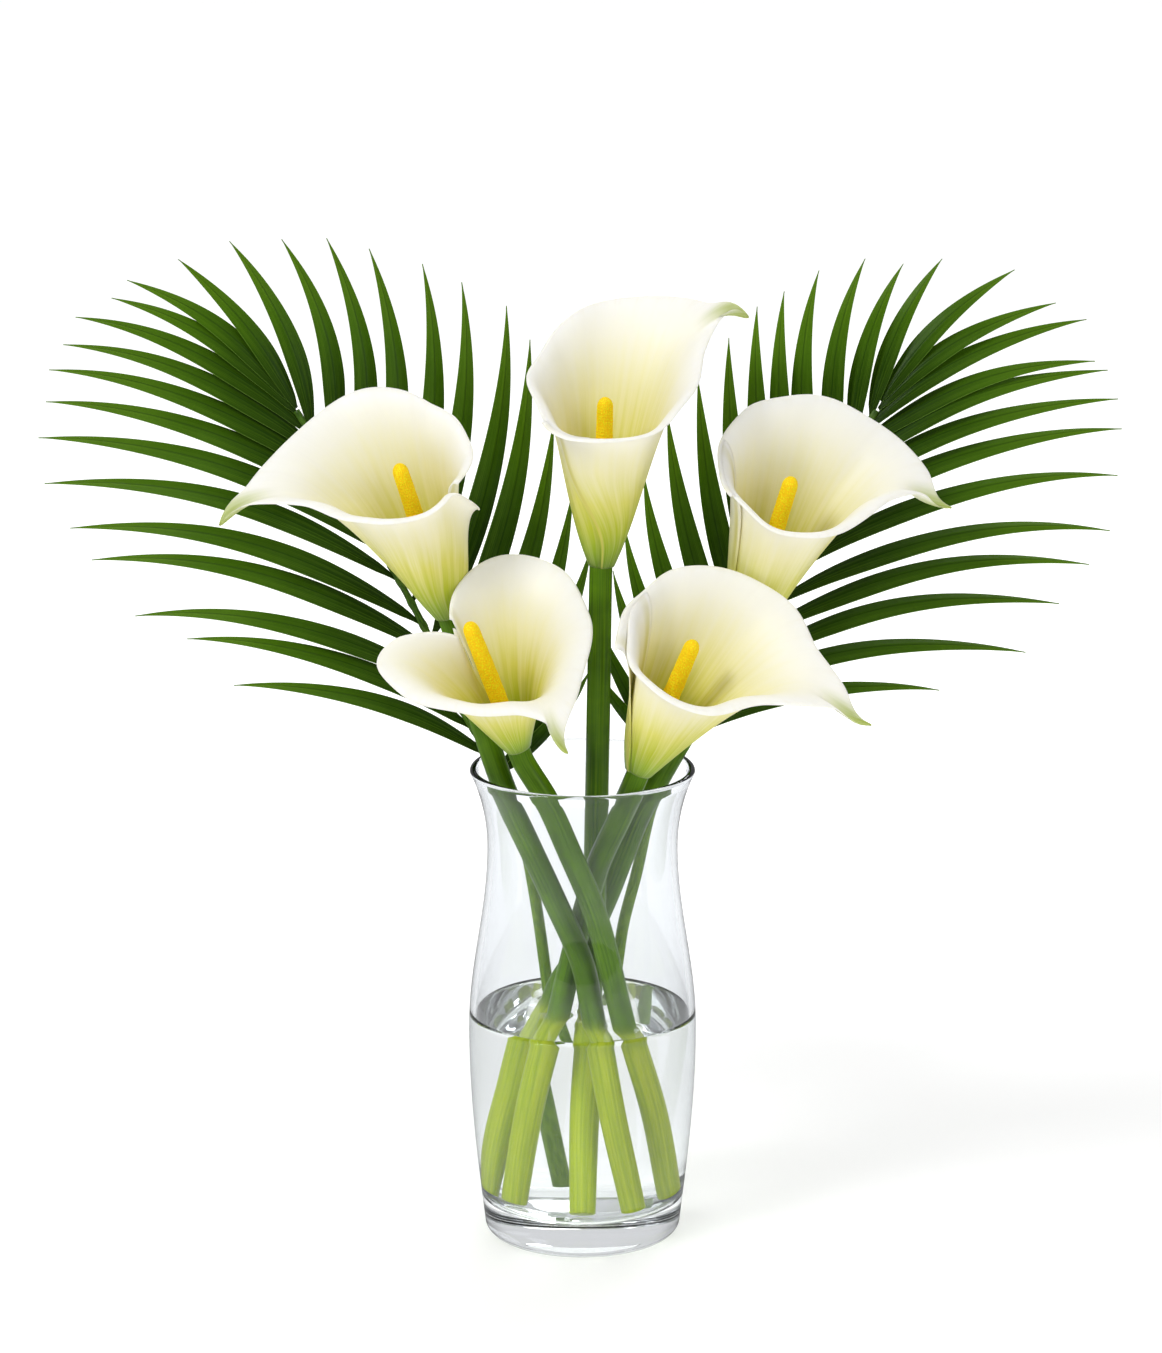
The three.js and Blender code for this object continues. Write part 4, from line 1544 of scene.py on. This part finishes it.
FRONDS = (
    Frond(
        "left", Arch.CLOCKWISE,
        stem=((-6, 26, -0.995), (-17, 34, -0.6), (-24, 30, -0.355), (-31, 23, -0.177)),
        rib=(
            (-40, 15, -0.032), (-59, 22, 22), (-79, 32, 64), (-104, 44, 107), (-122, 53, 135),
            (-142, 62, 166),
        ),
        leaflets=(
            Leaflet(0.04, 166, 133), Leaflet(0.12, 164, 149), Leaflet(0.22, 168, 163),
            Leaflet(0.32, 166, 178), Leaflet(0.40, 166, 182), Leaflet(0.52, 166, 183),
            Leaflet(0.60, 163, 180), Leaflet(0.69, 161, 168), Leaflet(0.77, 159, 159),
            Leaflet(0.85, 157, 144), Leaflet(0.84, 102, 114, 0.1), Leaflet(0.75, 95, 128, 0.1),
            Leaflet(0.66, 90, 138, 0.1), Leaflet(0.56, 84, 149, 0.09),
            Leaflet(0.46, 81, 159, 0.074), Leaflet(0.36, 77, 168, 0.062),
            Leaflet(0.26, 76, 171, 0.056), Leaflet(0.18, 72, 149, 0.06),
            Leaflet(0.10, 69, 130, 0.07), Leaflet(0.04, 65, 115, 0.06),
        ),
        grown=(
            Leaflet(0.92, 154, 132), Leaflet(0.97, 148, 112), Leaflet(1.0, 143, 105),
            Leaflet(0.98, 128, 98, 0.065), Leaflet(0.93, 113, 103, 0.083),
            Leaflet(0.01, 58, 84, 0.06), Leaflet(0, 49, 66, 0.06),
        ),
    ),
    Frond(
        "right", Arch.COUNTER,
        stem=(
            (9, 28, -0.659), (16, 28, -0.55), (21, 28, -0.405), (28, 27, -0.277), (34.5, 20.5, -0.132),
        ),
        rib=(
            (44, 18, -0.009), (61, 26, 21), (84, 36, 55), (109, 50, 101), (129, 60, 137),
            (146, 68, 165),
        ),
        leaflets=(
            Leaflet(0.05, 112, 92, 0.057), Leaflet(0.11, 110, 104, 0.058),
            Leaflet(0.18, 107, 117, 0.047), Leaflet(0.26, 104, 132, 0.035),
            Leaflet(0.34, 101, 134, 0.033), Leaflet(0.43, 98, 137, 0.042),
            Leaflet(0.53, 96, 134, 0.045), Leaflet(0.62, 94, 125, 0.052),
            Leaflet(0.71, 90, 119, 0.073), Leaflet(0.81, 83, 108, 0.079),
            Leaflet(0.87, 20, 131), Leaflet(0.80, 21, 146), Leaflet(0.72, 19, 158),
            Leaflet(0.63, 18, 168), Leaflet(0.54, 15, 172), Leaflet(0.45, 11, 174),
            Leaflet(0.36, 11, 172), Leaflet(0.27, 10, 166), Leaflet(0.18, 7, 158),
            Leaflet(0.08, 8, 126),
        ),
        grown=(
            Leaflet(0.89, 75, 94, 0.074), Leaflet(0.97, 66, 87, 0.065), Leaflet(1.0, 45, 97, 0.073),
            Leaflet(0.98, 31, 107), Leaflet(0.93, 26, 125), Leaflet(0.01, 119, 80, 0.06),
            Leaflet(0, 129, 62, 0.06),
        ),
    ),
)


def main() -> None:
    """Builds the arrangement, piece by piece, and the studio round it."""
    logging.basicConfig(level=logging.INFO, format="%(message)s")
    Studio().build()
    water = Water()
    placing.vase.build()
    stems = [(lily.stem_route(), placing.stem_radius) for lily in LILIES]
    stems += [(frond.route(), frond.stalk_radius) for frond in FRONDS]
    water.build(placing.vase, stems)
    stem_finish, spadix_finish = StemFinish(water.level).make(), SpadixFinish().make()
    outside, inside = SpatheFinish(Face.OUTSIDE).make(), SpatheFinish(Face.INSIDE).make()
    for lily in LILIES:
        lily.build_stem(stem_finish)
        lily.build_spathe(outside, inside)
        lily.build_spadix(spadix_finish)
    rib_finish, leaflet_finish = RibFinish().make(), LeafletFinish().make()
    for frond in FRONDS:
        frond.build(rib_finish, leaflet_finish)
    Bench.clear()


if __name__ == "__main__":
    main()
